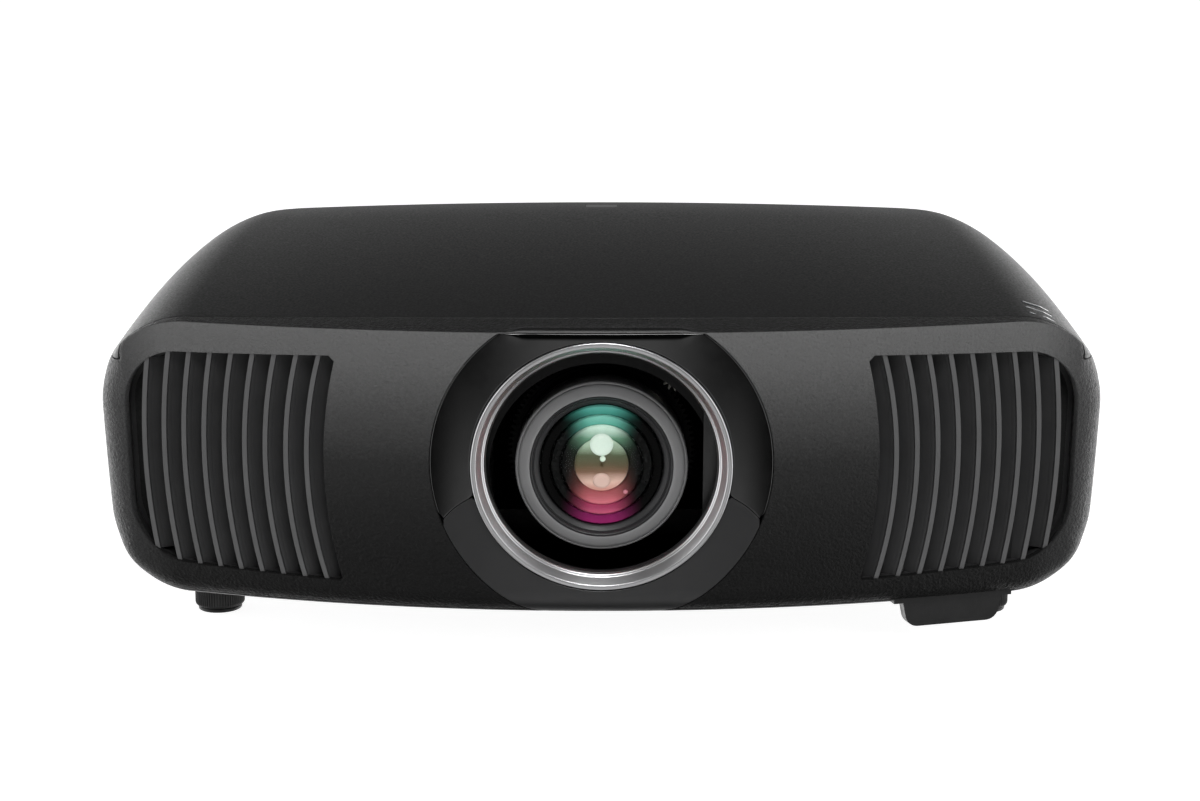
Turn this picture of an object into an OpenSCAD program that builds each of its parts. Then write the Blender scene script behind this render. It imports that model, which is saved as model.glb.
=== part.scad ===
// Home projector: bowed case, motorised lens with shift, zoom and focus, sliding lens shutter,
// air filter cassette, screw feet, control buttons, connectors and the parts inside.
// +X is to the right as seen from the front, +Y to the back, +Z up; the table is z = 0.

/* [Case] */
// Width of the case
body_w = 520; // [512:1:528]
// Depth of the case
body_d = 447; // [443:1:451]
// Gap between the table and the case
foot_h = 24; // [23:0.5:25]
// Height of the top edge of the front face
front_h = 172.9; // [172:0.1:175]
// Height of the highest point of the top cover
crown_h = 192.84; // [191:0.01:196]
// Distance from the front to the highest point
crown_v = 275; // [260:1:290]
// Fall of the top cover at 225 mm from the middle
crown_drop = 5; // [3:0.5:6]
// Wall thickness of the case
wall = 3; // [2.6:0.1:3.2]
// Radius of the front face in plan
bow_r = 668; // [650:1:690]
// Lean of the front face, in degrees
face_tilt = 6; // [5.5:0.1:6.5]
// Radius of the long top corners
top_r = 51; // [46:1:54]
// Radius of the long bottom corners
bottom_r = 43; // [38:1:46]
// Radius of the back corners in plan
back_r = 81; // [70:1:90]
// Radius of the back top edge
back_edge_r = 25; // [15:1:28]
// Narrowing of each side towards the back
side_taper = 8.2; // [4:0.1:10]
// Inward lean of each side at the bottom
side_lean = 4.1; // [2:0.1:6]

/* [Front] */
// Height of the middle of the lens ring, measured along the leaning face from its top edge
ring_drop = 69.9; // [69:0.1:71]
// Outer radius of the lens ring
ring_r = 65.1; // [64:0.1:66]
// Inner radius of the lens ring
ring_bore_r = 57.5; // [57:0.1:58.5]
// Outer radius of the glossy lens surround
surround_r = 85.5; // [82:0.5:88]
// Number of blades in each grille
blade_count = 9; // [7:1:10]
// Thickness of a grille blade
blade_t = 2; // [1.2:0.1:2.4]

/* [Lens] */
// Height of the lens axis at rest
axis_z = 97.6; // [97:0.1:98.5]
// Distance of the lens front behind the middle of the case
lens_front_y = -188.5; // [-188.5:0.1:-186]
// Outer radius of the lens barrel
barrel_r = 44; // [43:0.1:44]
// Radius of the front glass
glass_r = 31.3; // [29:0.1:32]
// Teeth on the focus and zoom rings
ring_teeth = 96; // [96]
// Teeth on each pinion
pinion_teeth = 12; // [12]
// Gear module
gear_m = 1; // [1]

/* [Shutter] */
// Travel of the front shutter leaf
shutter_travel = 113; // [110:0.5:113]
// Height of a shutter leaf
leaf_h = 124.4; // [122:0.2:124.4]
// Width of a shutter leaf
leaf_w = 66; // [64:0.5:66]

/* [Feet] */
// Distance of the front feet from the middle
foot_x = 209; // [200:1:212]
// Place of the front feet, front to back
foot_y = -112; // [-115:1:-108]
// Radius of the knurled disc
disc_r = 13.5; // [12:0.5:14]
// Place of the rear feet, front to back
rear_foot_y = 150; // [140:1:155]

/* [Ceiling mount] */
// Distance between the mounting holes, left to right
mount_x = 180; // [160:1:190]
// Distance between the mounting holes, front to back
mount_y = 120; // [110:1:130]
// Radius of a mounting hole
mount_hole_r = 2; // [1.6:0.1:2.5]

/* [Hidden] */
front_y = -body_d / 2;
back_y = body_d / 2;
crown_y = front_y + crown_v;
cover_arc_r = (pow(crown_v, 2) + pow(crown_h - front_h, 2)) / (2 * (crown_h - front_h));
part_z = 96;          // height of the joint between top cover and bottom case
panel_z = 150;        // height where the front panel's side ends
panel_y = -141.5;     // back edge of the front panel's side
seam_v = 25;          // depth of the front panel's top strip at the middle
seam_r = 1228;        // radius of the seam in plan
lip_z = 44;           // height of the front panel's lower lip
lip_t = 5;            // thickness of that lip
rear_zone_y = 183.5;  // front edge of the rear panel
gap = 0.3;            // joint width between case parts
big = 700;            // size of cutting blocks
fine = 360;           // segments of a large arc
pitch_r = ring_teeth * gear_m / 2;
pinion_r = pinion_teeth * gear_m / 2;
pinion_off = (pitch_r + pinion_r) * sin(45);
run_fit = 0.06;       // radial clearance of a turning fit
$fn = 64;

// ---- Outlines and helpers ----

function clip01(t) = max(0, min(1, t));
function mirrored(pts) = [for (i = [len(pts) - 1 : -1 : 0]) [-pts[i][0], pts[i][1]]];
function both_sides(pts) = concat(pts, mirrored(pts));
function half_w(v) = body_w / 2 - side_taper * pow(max(v - 150, 0) / (body_d - 150), 2);
function lean_in(z) = side_lean * pow(clip01((120 - (z - foot_h)) / 120), 2);
function drop(x) = crown_drop * pow(x / 225, 2);
function cover_z(y) = crown_h - cover_arc_r + sqrt(pow(cover_arc_r, 2) - pow(y - crown_y, 2));

// Rounds the corner p1 between p0 and p2 with radius r.
function round_corner(p0, p1, p2, r, n = 6) =
    let (
        a = (p0 - p1) / norm(p0 - p1),
        b = (p2 - p1) / norm(p2 - p1),
        half = acos(a * b) / 2,
        mid = (a + b) / norm(a + b),
        c = p1 + mid * r / sin(half),
        s = p1 + a * r / tan(half) - c,
        e = p1 + b * r / tan(half) - c,
        a0 = atan2(s[1], s[0]),
        d = atan2(e[1], e[0]) - a0,
        sweep = d > 180 ? d - 360 : d < -180 ? d + 360 : d
    )
    [for (k = [0 : n]) c + r * [cos(a0 + sweep * k / n), sin(a0 + sweep * k / n)]];

// A rectangle with rounded corners, as points.
function round_rect(w, h, r) =
    let (c = [[w / 2, h / 2], [-w / 2, h / 2], [-w / 2, -h / 2], [w / 2, -h / 2]])
    [for (k = [0 : 3]) each round_corner(c[(k + 3) % 4], c[k], c[(k + 1) % 4], r)];

module along_y(h) { rotate([90, 0, 0]) linear_extrude(h, center = true) children(); }
module along_x(h) { rotate([90, 0, 90]) linear_extrude(h, center = true) children(); }
module rod_y(r, y0, y1) { translate([0, y1, 0]) rotate([90, 0, 0]) cylinder(r = r, h = y1 - y0); }
module rod_x(r, x0, x1) { translate([x0, 0, 0]) rotate([0, 90, 0]) cylinder(r = r, h = x1 - x0); }
module block(lo, hi) { translate(lo) cube(hi - lo); }
module both_x() { children(); mirror([1, 0, 0]) children(); }

// Frame of the leaning face: origin at the middle of its top edge, y is the depth behind it.
module on_face() { translate([0, front_y, front_h]) rotate([face_tilt, 0, 0]) children(); }
module on_ring() { on_face() translate([0, 0, -ring_drop]) children(); }
module on_axis() { translate([0, 0, axis_z]) children(); }

// ---- The case as a solid, moved inwards by i ----

module plan_block(i) {
    r = back_r - i;
    side = concat(
        [[half_w(0) - i, -body_d]],
        [for (v = [150 : 54 : body_d - back_r - 10]) [half_w(v) - i, v + front_y]],
        [for (a = [0 : 10 : 90])
            let (v = body_d - i - r * (1 - sin(a)))
            [half_w(v) - i - r * (1 - cos(a)), v + front_y]]
    );
    linear_extrude(260) polygon(both_sides(side));
}

module side_block(i) {
    r = bottom_r - i;
    corner = [for (a = [0 : 10 : 90])
        let (z = foot_h + bottom_r - r * cos(a))
        [body_w / 2 - bottom_r + r * sin(a) - lean_in(z), z]];
    upper = [for (z = [90, 115, foot_h + 120, 300]) [body_w / 2 - i - lean_in(z), z]];
    along_y(2 * body_d) polygon(both_sides(concat(corner, upper)));
}

module back_block(i) {
    r = back_edge_r - i;
    slope = asin((back_y - back_edge_r - crown_y) / cover_arc_r);
    cy = back_y - back_edge_r;
    cz = cover_z(cy) - back_edge_r;
    arc = [for (a = [0 : 10 : 80]) [cy + r * cos(a), cz + r * sin(a)]];
    last = [cy + r * sin(slope), cz + r * cos(slope)];
    ahead = [last[0] - 500 * cos(slope), last[1] + 500 * sin(slope)];
    along_x(2 * body_w) polygon(concat([[-400, 0], [back_y - i, 0]], arc, [last, ahead, [-400, 120]]));
}

module top_block(i) {
    edge = body_w / 2 - top_r;
    r = top_r - i;
    crown = [for (x = [0 : 38 : edge - 10]) [x, cover_arc_r - i - drop(x)]];
    corner = [for (a = [0 : 10 : 90])
        let (x = edge + r * sin(a))
        [x, cover_arc_r - top_r + r * cos(a) - drop(edge + top_r * sin(a))]];
    outline = concat(crown, corner, [[body_w / 2 - i, cover_arc_r - 190]]);
    right = [for (p = outline) [p[1], p[0]]];
    left = [for (k = [len(outline) - 1 : -1 : 1]) [outline[k][1], -outline[k][0]]];
    translate([0, crown_y, crown_h - cover_arc_r])
        rotate([0, -90, 0]) rotate([0, 0, -12])
            rotate_extrude(angle = 24, $fn = 2 * fine) polygon(concat(right, left));
}

module bow_block(i) {
    on_face() translate([0, bow_r, -300]) cylinder(r = bow_r - i, h = 500, $fn = fine);
}

module body_solid(i) {
    intersection() {
        plan_block(i);
        side_block(i);
        back_block(i);
        bow_block(i);
        top_block(i);
    }
}

module case_wall(t = wall) {
    difference() {
        body_solid(0);
        body_solid(t);
    }
}

// ---- Zones that part the case into its shells ----

module seam_cylinder(r) { translate([0, front_y + seam_v + seam_r, 0]) cylinder(r = r, h = 260, $fn = 2 * fine); }

module front_zone() {
    union() {
        difference() {
            block([-big / 2, -260, panel_z], [big / 2, -100, 260]);
            seam_cylinder(seam_r);
        }
        block([-big / 2, -260, lip_z], [big / 2, panel_y, panel_z]);
        difference() {
            block([-big / 2, -260, 0], [big / 2, panel_y, lip_z]);
            bow_block(lip_t);
        }
    }
}

module top_zone() {
    union() {
        intersection() {
            block([-big / 2, -260, panel_z + gap], [big / 2, 260, 260]);
            seam_cylinder(seam_r - gap);
        }
        block([-big / 2, panel_y + gap, part_z + gap], [big / 2, rear_zone_y - gap, panel_z + gap]);
    }
}

module bottom_zone() {
    union() {
        block([-big / 2, panel_y + gap, 0], [big / 2, rear_zone_y - gap, part_z]);
        block([-big / 2, rear_zone_y - gap, 0], [big / 2, 260, 30]);
        intersection() {
            block([-big / 2, -260, 0], [big / 2, panel_y + gap, lip_z - gap]);
            bow_block(lip_t + gap);
        }
    }
}

// ---- Grille outline: an inner edge that bows outwards and rounded outer corners ----

grille_in = 131.5;
grille_out = 243.7;
grille_lo = 40;
grille_hi = 159;
grille_bulge = 8;

function grille_edge(i) =
    let (mid = (grille_lo + grille_hi) / 2, reach = (grille_hi - grille_lo) / 2 - i)
    [for (t = [-1 : 0.25 : 1]) [grille_in + i + grille_bulge * (1 - t * t), mid + t * reach]];

function grille_outline(i) =
    let (
        top_in = [grille_in + i, grille_hi - i],
        top_out = [grille_out - i, grille_hi - 3 - i],
        low_out = [grille_out - i, grille_lo + 4.5 + i],
        low_in = [grille_in + i, grille_lo + i]
    )
    concat(
        grille_edge(i),
        round_corner(top_in, top_out, low_out, 30 - i),
        round_corner(top_out, low_out, low_in, 32 - i)
    );

module grille_block(i) { along_y(500) polygon(grille_outline(i)); }

blade_first = 148.3;
blade_last = 234.4;
blade_r_first = 214;
blade_r_last = 330;

module blade_arcs() {
    for (k = [0 : blade_count - 1]) {
        s = k / (blade_count - 1);
        x = blade_first + s * (blade_last - blade_first);
        r = blade_r_first + s * (blade_r_last - blade_r_first);
        translate([x - r, 0, 99.5]) difference() {
            rod_y(r + blade_t / 2, -250, -100, $fn = fine);
            rod_y(r - blade_t / 2, -251, -99, $fn = fine);
        }
    }
}

module grille() {
    frame_t = 2.2;
    intersection() {
        difference() {
            body_solid(1);
            body_solid(6);
        }
        block([0, -260, 0], [big / 2, -100, 200]);
        union() {
            difference() {
                grille_block(gap);
                grille_block(gap + frame_t);
            }
            intersection() {
                grille_block(gap + frame_t / 2);
                union() {
                    blade_arcs();
                    block([grille_in, -250, 97], [grille_out, -100, 99]);
                }
            }
        }
    }
}

// ---- Places shared by several parts ----

// Filter cassette: its own frame, with x along the slot.
cassette_x = 181.6;
cassette_y = -172.6;
cassette_turn = 15.9;
cassette_w = 66;
cassette_t = 7;
module at_cassette() { translate([cassette_x, cassette_y, 0]) rotate([0, 0, cassette_turn]) children(); }

// Control plate on the left side: its own frame, with -x pointing out of the wall.
control_y = 115;
control_z = 119;
control_turn = -2;
module at_control() { translate([-254.5, control_y, control_z]) rotate([0, 0, control_turn]) children(); }
// Button centres on the plate, as [along the wall, up].
power_at = [-34, 0];
menu_at = [-16, 7];
escape_at = [-16, -7];
enter_at = [18, 0];
arrow_step = 11;
button_play = 0.25;

// Connector plate in the back.
io_x0 = -150;
io_x1 = 84;
io_z0 = 50;
io_z1 = 96;
io_y = 207;
board_z = 56;
hdmi_x = [-128, -104];
usb_x = [-28, -8];
lan_x = -66;
serial_x = 30;
trigger_x = 66;
trigger_r = 1.8;
socket_z = board_z + 1.6;
inlet_x = 128;
inlet_z = 68;

guide_x = 224;
guide_y = [-170, -160, -150];

post_at = [[224, -118], [224, 120]];
rear_screw_x = [-160, -60, 60, 160];
rear_screw_z = 40;
rear_head_r = 2.7;
shift_screw_x = -76;
shift_screw_y = -79;
rod_x_at = 92;
rod_y_at = -64.25;
cross_screw_z = 66;   // height of the horizontal screw above the lens axis
cross_screw_y = -72;
fan_x = 186;
fan_z = 98;
fan_y = -150;         // front of the fan frames
fan_size = 92;
fan_depth = 25;
wheel_x = -88;
wheel_y = 12;
wheel_z = 95;

// ---- Case shells ----

module front_panel() {
    color("#2b2b2c") difference() {
        intersection() {
            case_wall();
            front_zone();
        }
        both_x() grille_block(0);
        on_ring() rod_y(surround_r + gap, -5, 9 + gap);
    }
}

module cover_post() {
    post_r = 5;
    post_lo = 62;
    difference() {
        translate([0, 0, post_lo]) cylinder(r = post_r, h = 140);
        translate([0, 0, post_lo - 1]) cylinder(r = 2.05, h = 30);
    }
}

module top_cover() {
    color("#1a1a1b") difference() {
        union() {
            intersection() {
                case_wall();
                top_zone();
            }
            intersection() {
                body_solid(wall - 0.5);
                both_x() for (p = post_at) translate([p[0], p[1], 0]) cover_post();
            }
        }
        for (y = guide_y) translate([guide_x, y, 160]) cube([15, 2.6, 40], center = true);
        difference() {
            block([-10, 112, 180], [10, 129, 200]);
            body_solid(1.05);
        }
        at_control() cube([20, 92, 32], center = true);
    }
}

module bottom_pillar() {
    difference() {
        translate([0, 0, foot_h + 0.01]) cylinder(r = 7, h = 37);
        cylinder(r = 2.3, h = 80);
        cylinder(r = 4.2, h = 42);
    }
}

module bottom_case() {
    color("#1c1c1d") difference() {
        union() {
            intersection() {
                case_wall();
                bottom_zone();
            }
            intersection() {
                body_solid(1);
                union() {
                    both_x() for (p = post_at) translate([p[0], p[1], 0]) bottom_pillar();
                    both_x() translate([foot_x, foot_y, foot_h + 0.5]) cylinder(r = 11, h = 40);
                    for (x = [-mount_x / 2, mount_x / 2], y = [-mount_y / 2, mount_y / 2])
                        translate([x, y, foot_h + 0.5]) cylinder(r = 6, h = 12);
                    for (x = rear_screw_x)
                        block([x - 7, back_y - wall - 11, foot_h + 1], [x + 7, back_y - wall - 0.4, 48]);
                }
            }
        }
        on_ring() rod_y(surround_r + gap, -5, 9 + gap);
        both_x() for (p = post_at) translate([p[0], p[1], 0]) cylinder(r = 4.2, h = 42);
        both_x() translate([foot_x, foot_y, 0]) cylinder(r = 5.3, h = 61);
        for (x = [-mount_x / 2, mount_x / 2], y = [-mount_y / 2, mount_y / 2])
            translate([x, y, foot_h - 1]) cylinder(r = mount_hole_r, h = 10);
        for (x = rear_screw_x) translate([x, 0, rear_screw_z]) rod_y(1.55, back_y - 16, back_y + 1);
        at_cassette() block([-cassette_w / 2 - 0.6, -cassette_t / 2 - 5, foot_h - 5],
            [cassette_w / 2 + 0.6, cassette_t / 2 + 0.6, foot_h + 10]);
        for (k = [0 : 7]) block([-44 + k * 12, -30, foot_h - 1], [-38 + k * 12, 40, foot_h + wall + 1]);
    }
}

module rear_panel() {
    color("#1a1a1b") difference() {
        intersection() {
            case_wall();
            block([-big / 2, rear_zone_y, 30 + gap], [big / 2, 260, panel_z]);
        }
        block([io_x0 - gap, 200, io_z0 - gap], [io_x1 + gap, 240, io_z1 + gap]);
        block([inlet_x - 15.3, 200, inlet_z - 12.3], [inlet_x + 15.3, 240, inlet_z + 12.3]);
        for (x = rear_screw_x) translate([x, 0, rear_screw_z]) {
            rod_y(1.8, 200, 240);
            rod_y(rear_head_r + 0.2, back_y - 1.4, 240);
        }
        for (k = [0 : 9]) block([-100 + 22 * k - 9, 200, 112], [-100 + 22 * k + 9, 240, 115]);
        for (k = [0 : 9]) block([-100 + 22 * k - 9, 200, 120], [-100 + 22 * k + 9, 240, 123]);
        for (k = [0 : 9]) block([-100 + 22 * k - 9, 200, 128], [-100 + 22 * k + 9, 240, 131]);
    }
}

module surround_disc(t) {
    difference() {
        intersection() {
            case_wall(t);
            on_ring() rod_y(surround_r, -5, 9);
        }
        on_ring() rod_y(ring_r + 0.2, -20, 30);
    }
}

module chin_block(i) {
    along_y(700) polygon([[-64 + i, 88 - i], [-96, 53.1 - i], [-96, 0], [96, 0], [96, 53.1 - i], [64 - i, 88 - i]]);
}

module lens_surround() {
    color("#0c0c0d") difference() {
        surround_disc(4);
        chin_block(0);
    }
}

module chin_trim() {
    color("#2a2a2b") intersection() {
        surround_disc(4);
        chin_block(gap);
    }
}

module lens_ring() {
    color("silver") on_ring() rotate([-90, 0, 0]) rotate_extrude($fn = 128)
        polygon([
            [ring_r, 0.6], [ring_r - 0.6, 0], [ring_r - 2.2, 0], [59.5, 5],
            [ring_bore_r + 0.6, 5.4], [ring_bore_r + 0.6, 9], [ring_r, 9]
        ]);
}

// ---- Lens shutter ----

leaf_front_x = shutter_travel - 62;
leaf_rear_x = 54.5;
leaf_front_depth = 15;
leaf_rear_depth = 17.2;
leaf_t = 1.2;

module shutter_housing() {
    rail = leaf_h / 2 + 0.3;
    color("#101011") on_ring() difference() {
        union() {
            block([-68, 20.5, -70], [124, 22.5, rail + 3.5]);
            block([-68, 14.8, rail], [124, 21, rail + 3.5]);
            block([-68, 14.8, -rail - 3.5], [124, 21, -rail]);
            block([-68, 14.8, -rail - 1], [-65, 21, rail + 1]);
            block([121.2, 14.8, -rail - 1], [124, 21, rail + 1]);
            block([-68, 12.6, -rail - 3.5], [70, 14.4, rail + 3.5]);
            block([-68, 13, rail], [70, 15, rail + 3.5]);
            block([-68, 13, -rail - 3.5], [70, 15, -rail]);
            rod_y(61.2, 9.3, 13);
        }
        rod_y(59.3, 0, 15);
        translate([0, 0, -8.1]) rod_y(56.6, 15, 30);
    }
}

module shutter_leaf(x0, depth) {
    on_ring() {
        block([x0, depth, -leaf_h / 2], [x0 + leaf_w, depth + leaf_t, leaf_h / 2]);
    }
}

module shutter_leaf_front() { color("#161617") shutter_leaf(leaf_front_x, leaf_front_depth); }
module shutter_leaf_rear() { color("#161617") shutter_leaf(leaf_rear_x, leaf_rear_depth); }

// ---- Grilles, light guides and label ----

module right_grille() { color("#141415") grille(); }
module left_grille() { color("#141415") mirror([1, 0, 0]) grille(); }

module light_guides() {
    color("#8a8f94") intersection() {
        difference() {
            body_solid(0.3);
            body_solid(4);
        }
        for (y = guide_y) translate([guide_x, y, 160]) cube([14, 1.8, 40], center = true);
    }
}

module blank_label() {
    color("#9a9da0") intersection() {
        difference() {
            body_solid(0.1);
            body_solid(1);
        }
        block([-9.8, 112.2, 180], [9.8, 128.8, 200]);
    }
}

// ---- Control plate and its buttons, in the plate's own frame ----

module in_wall(at) { translate([0, at[0], at[1]]) rotate([0, -90, 0]) children(); }

module control_plate() {
    holes = [power_at, menu_at, escape_at, enter_at];
    color("#1f1f20") at_control() difference() {
        rotate([0, -90, 0]) linear_extrude(2.4) polygon(round_rect(31.4, 91.4, 4));
        for (p = holes) in_wall(p) translate([0, 0, -1]) cylinder(r = (p == power_at ? 6 : 4) + button_play, h = 6);
        for (p = arrow_places()) in_wall(p) translate([0, 0, -1]) cylinder(r = 3.6 + button_play, h = 6);
    }
}

function arrow_places() = [
    enter_at + [0, arrow_step], enter_at - [0, arrow_step],
    enter_at + [arrow_step, 0], enter_at - [arrow_step, 0]
];

module button(at, r) {
    color("#2d2d2e") at_control() in_wall(at) translate([0, 0, -3]) union() {
        cylinder(r = r, h = 6);
        cylinder(r = r + 1, h = 1.5);
    }
}

module power_button() { button(power_at, 6); }
module menu_button() { button(menu_at, 4); }
module escape_button() { button(escape_at, 4); }
module enter_button() { button(enter_at, 4); }
module up_button() { button(arrow_places()[0], 3.6); }
module down_button() { button(arrow_places()[1], 3.6); }
module right_button() { button(arrow_places()[2], 3.6); }
module left_button() { button(arrow_places()[3], 3.6); }

// ---- Connectors ----

module socket_hole(x, w, h, z0) { block([x - w / 2, 180, z0], [x + w / 2, 240, z0 + h]); }

hdmi_size = [15, 6.2];
usb_size = [14.2, 7];
lan_size = [16, 13.6];
serial_size = [30.6, 12.4];

module io_plate() {
    color("#202021") difference() {
        block([io_x0, io_y - 2, io_z0], [io_x1, back_y - 0.4, io_z1]);
        block([io_x0 + 2, io_y, io_z0 + 2], [io_x1 - 2, back_y + 1, io_z1 - 2]);
        for (x = hdmi_x) socket_hole(x, hdmi_size[0] + 0.4, hdmi_size[1] + 0.4, socket_z - 0.1);
        for (x = usb_x) socket_hole(x, usb_size[0] + 0.4, usb_size[1] + 0.4, socket_z - 0.1);
        socket_hole(lan_x, lan_size[0] + 0.4, lan_size[1] + 0.4, socket_z - 0.1);
        socket_hole(serial_x, serial_size[0] + 0.4, serial_size[1] + 0.4, socket_z - 0.1);
        translate([trigger_x, 0, socket_z + 6]) rod_y(4.2, 180, 240);
    }
}

// A hollow metal or plastic socket with a wall of 0.6, a closed back and an optional tongue.
module socket_shell(x, size, depth, tongue) {
    w = size[0];
    h = size[1];
    difference() {
        block([x - w / 2, 196, socket_z + 0.1], [x + w / 2, io_y + 1, socket_z + 0.1 + h]);
        block([x - w / 2 + 0.6, io_y + 1 - depth, socket_z + 0.7],
            [x + w / 2 - 0.6, io_y + 3, socket_z - 0.5 + h]);
    }
    if (tongue > 0)
        block([x - w / 2 + 2, io_y - depth, socket_z + h / 2 - tongue / 2],
            [x + w / 2 - 2, io_y - 1, socket_z + h / 2 + tongue / 2]);
}

module hdmi_sockets() { color("silver") for (x = hdmi_x) socket_shell(x, hdmi_size, 9, 1.4); }
module usb_sockets() { color("silver") for (x = usb_x) socket_shell(x, usb_size, 9.5, 2); }
module lan_socket() { color("#b0b0b0") socket_shell(lan_x, lan_size, 10, 0); }

module serial_port() {
    color("#9a9da0") difference() {
        union() {
            block([serial_x - 15.3, 200, socket_z + 0.1], [serial_x + 15.3, io_y + 0.8, socket_z + 12.5]);
            along = socket_z + 6.3;
            translate([serial_x, io_y + 3, along]) along_y(5)
                polygon([[-8.3, 4.1], [8.3, 4.1], [7, -4.1], [-7, -4.1]]);
        }
        for (k = [0 : 4]) translate([serial_x - 5.5 + 2.75 * k, 0, socket_z + 7.7]) rod_y(0.6, 203, 214);
        for (k = [0 : 3]) translate([serial_x - 4.1 + 2.75 * k, 0, socket_z + 4.9]) rod_y(0.6, 203, 214);
    }
}

module trigger_jack() {
    color("#222223") translate([trigger_x, 0, socket_z + 6]) difference() {
        union() {
            rod_y(4, 203, io_y + 2);
            block([-5, 192, -5.8], [5, 203.5, 5.8]);
        }
        rod_y(trigger_r, 195, 215);
    }
}

module ac_inlet() {
    color("#18181a") translate([inlet_x, 0, inlet_z]) {
        difference() {
            union() {
                block([-15, 198, -12], [15, back_y - 0.2, 12]);
                block([-18, 196, -11], [18, 219, 11]);
            }
            along = 18;
            translate([0, back_y, 0]) along_y(2 * along) polygon([
                [-12, -8.2], [12, -8.2], [12, 4], [7.5, 8.2], [-7.5, 8.2], [-12, 4]
            ]);
        }
        for (p = [[-7, -2], [7, -2], [0, 2]])
            block([p[0] - 1, 204, p[1] - 2], [p[0] + 1, 217.5, p[1] + 2]);
    }
}

// ---- Feet ----

module foot_screw() {
    notch_count = 30;
    color("#161616") translate([foot_x, foot_y, 0]) difference() {
        union() {
            translate([0, 0, 3.6]) cylinder(r = disc_r, h = 8.8);
            translate([0, 0, 2.6]) cylinder(r1 = disc_r - 1, r2 = disc_r, h = 1);
            cylinder(r = 5, h = 56);
        }
        translate([0, 0, -1]) cylinder(r = 20, h = 3.6);
        for (k = [0 : notch_count - 1]) rotate([0, 0, k * 360 / notch_count])
            translate([disc_r + 0.3, 0, 2]) cylinder(r = 0.9, h = 12, $fn = 24);
    }
}

module foot_pad() { color("#0e0e0e") translate([foot_x, foot_y, 0]) cylinder(r = 11.8, h = 2.2); }
module right_foot_screw() { foot_screw(); }
module left_foot_screw() { mirror([1, 0, 0]) foot_screw(); }
module right_foot_pad() { foot_pad(); }
module left_foot_pad() { mirror([1, 0, 0]) foot_pad(); }

module rear_feet() {
    color("#0e0e0e") both_x() translate([190, rear_foot_y, 0]) cylinder(r1 = 10, r2 = 13, h = foot_h);
}

// ---- Air filter ----

grip_w = 58;
module filter_cassette() {
    color("#0d0d0e") at_cassette() difference() {
        union() {
            block([-cassette_w / 2, -cassette_t / 2, foot_h], [cassette_w / 2, cassette_t / 2, 146]);
            translate([0, 0, 24]) along_y(cassette_t - 1) polygon(concat(
                [[-grip_w / 2, 6], [grip_w / 2, 6]],
                round_corner([grip_w / 2, 6], [grip_w / 2 - 4, -13], [-20, -13], 7),
                round_corner([20, -13], [-grip_w / 2 + 4, -13], [-grip_w / 2, 6], 7)
            ));
        }
        block([-cassette_w / 2 + 4, -cassette_t, 34], [cassette_w / 2 - 4, cassette_t, 142]);
    }
}

module filter_media() {
    color("#c9c9c4") at_cassette()
        block([-cassette_w / 2 + 4.1, -2.4, 34.1], [cassette_w / 2 - 4.1, 2.4, 141.9]);
}

// ---- Lens shift ----

module shift_base() {
    end_lo = foot_h + wall + 0.1;
    rod_lo = 37.2;
    color("#8f9296") difference() {
        union() {
            block([-82, -59.5, end_lo], [82, -52, 178]);
            both_x() for (z = [[rod_lo, 44], [172, 178]])
                block([80, -70, z[0]], [100, -52, z[1]]);
            both_x() translate([rod_x_at, rod_y_at, rod_lo]) cylinder(r = 4, h = 178 - rod_lo);
            block([-84, -87, 172], [-69, -52, 178]);
        }
        on_axis() rod_y(43.5, -90, 0);
        translate([shift_screw_x, shift_screw_y, 160]) cylinder(r = 3 + run_fit, h = 30);
    }
}

module vertical_carriage() {
    color("#a8abb0") difference() {
        union() {
            block([-78, -68.4, 47.6], [78, -60, 159.6]);
            both_x() block([76, -71.5, 56], [100, -60, 157.5]);
            both_x() block([82.6, -61, 56], [100, -57, 157.5]);
            block([-83, -86, 92], [-69, -60, 104]);
            both_x() block([62, -68.4, axis_z + 55], [68, -60, axis_z + 73]);
            both_x() block([62, -79, axis_z + 62.6], [68, -60, axis_z + 73]);
        }
        on_axis() rod_y(38.5, -90, 0);
        both_x() translate([rod_x_at, rod_y_at, 0]) cylinder(r = 4 + run_fit, h = 200);
        translate([shift_screw_x, shift_screw_y, 60]) cylinder(r = 3 + run_fit, h = 80);
        translate([0, cross_screw_y, axis_z + cross_screw_z]) rod_x(3 + run_fit, -100, 100);
    }
}

module vertical_screw() {
    color("#c8cacc") translate([shift_screw_x, shift_screw_y, 0]) union() {
        translate([0, 0, 44.6]) cylinder(r = 3, h = 132);
        translate([0, 0, 45]) cylinder(r = 5, h = 4);
    }
}

module horizontal_screw() {
    color("#c8cacc") translate([0, cross_screw_y, axis_z + cross_screw_z]) union() {
        rod_x(3, -67.5, 68.4);
        rod_x(3.9, 57, 61);
    }
}

module vertical_motor() {
    color("#3a3a3c") translate([shift_screw_x, shift_screw_y, foot_h + wall + 0.1]) cylinder(r = 8, h = 17);
}

module horizontal_motor() {
    color("#3a3a3c") translate([0, cross_screw_y, axis_z + cross_screw_z]) rod_x(5.2, 68.6, 79.4);
}

// ---- Lens ----

flange_y0 = -75;
flange_y1 = -69;
rear_tube_r = 30;
focus_y0 = -150;
zoom_y0 = -126;
gear_w = 12;

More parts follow.
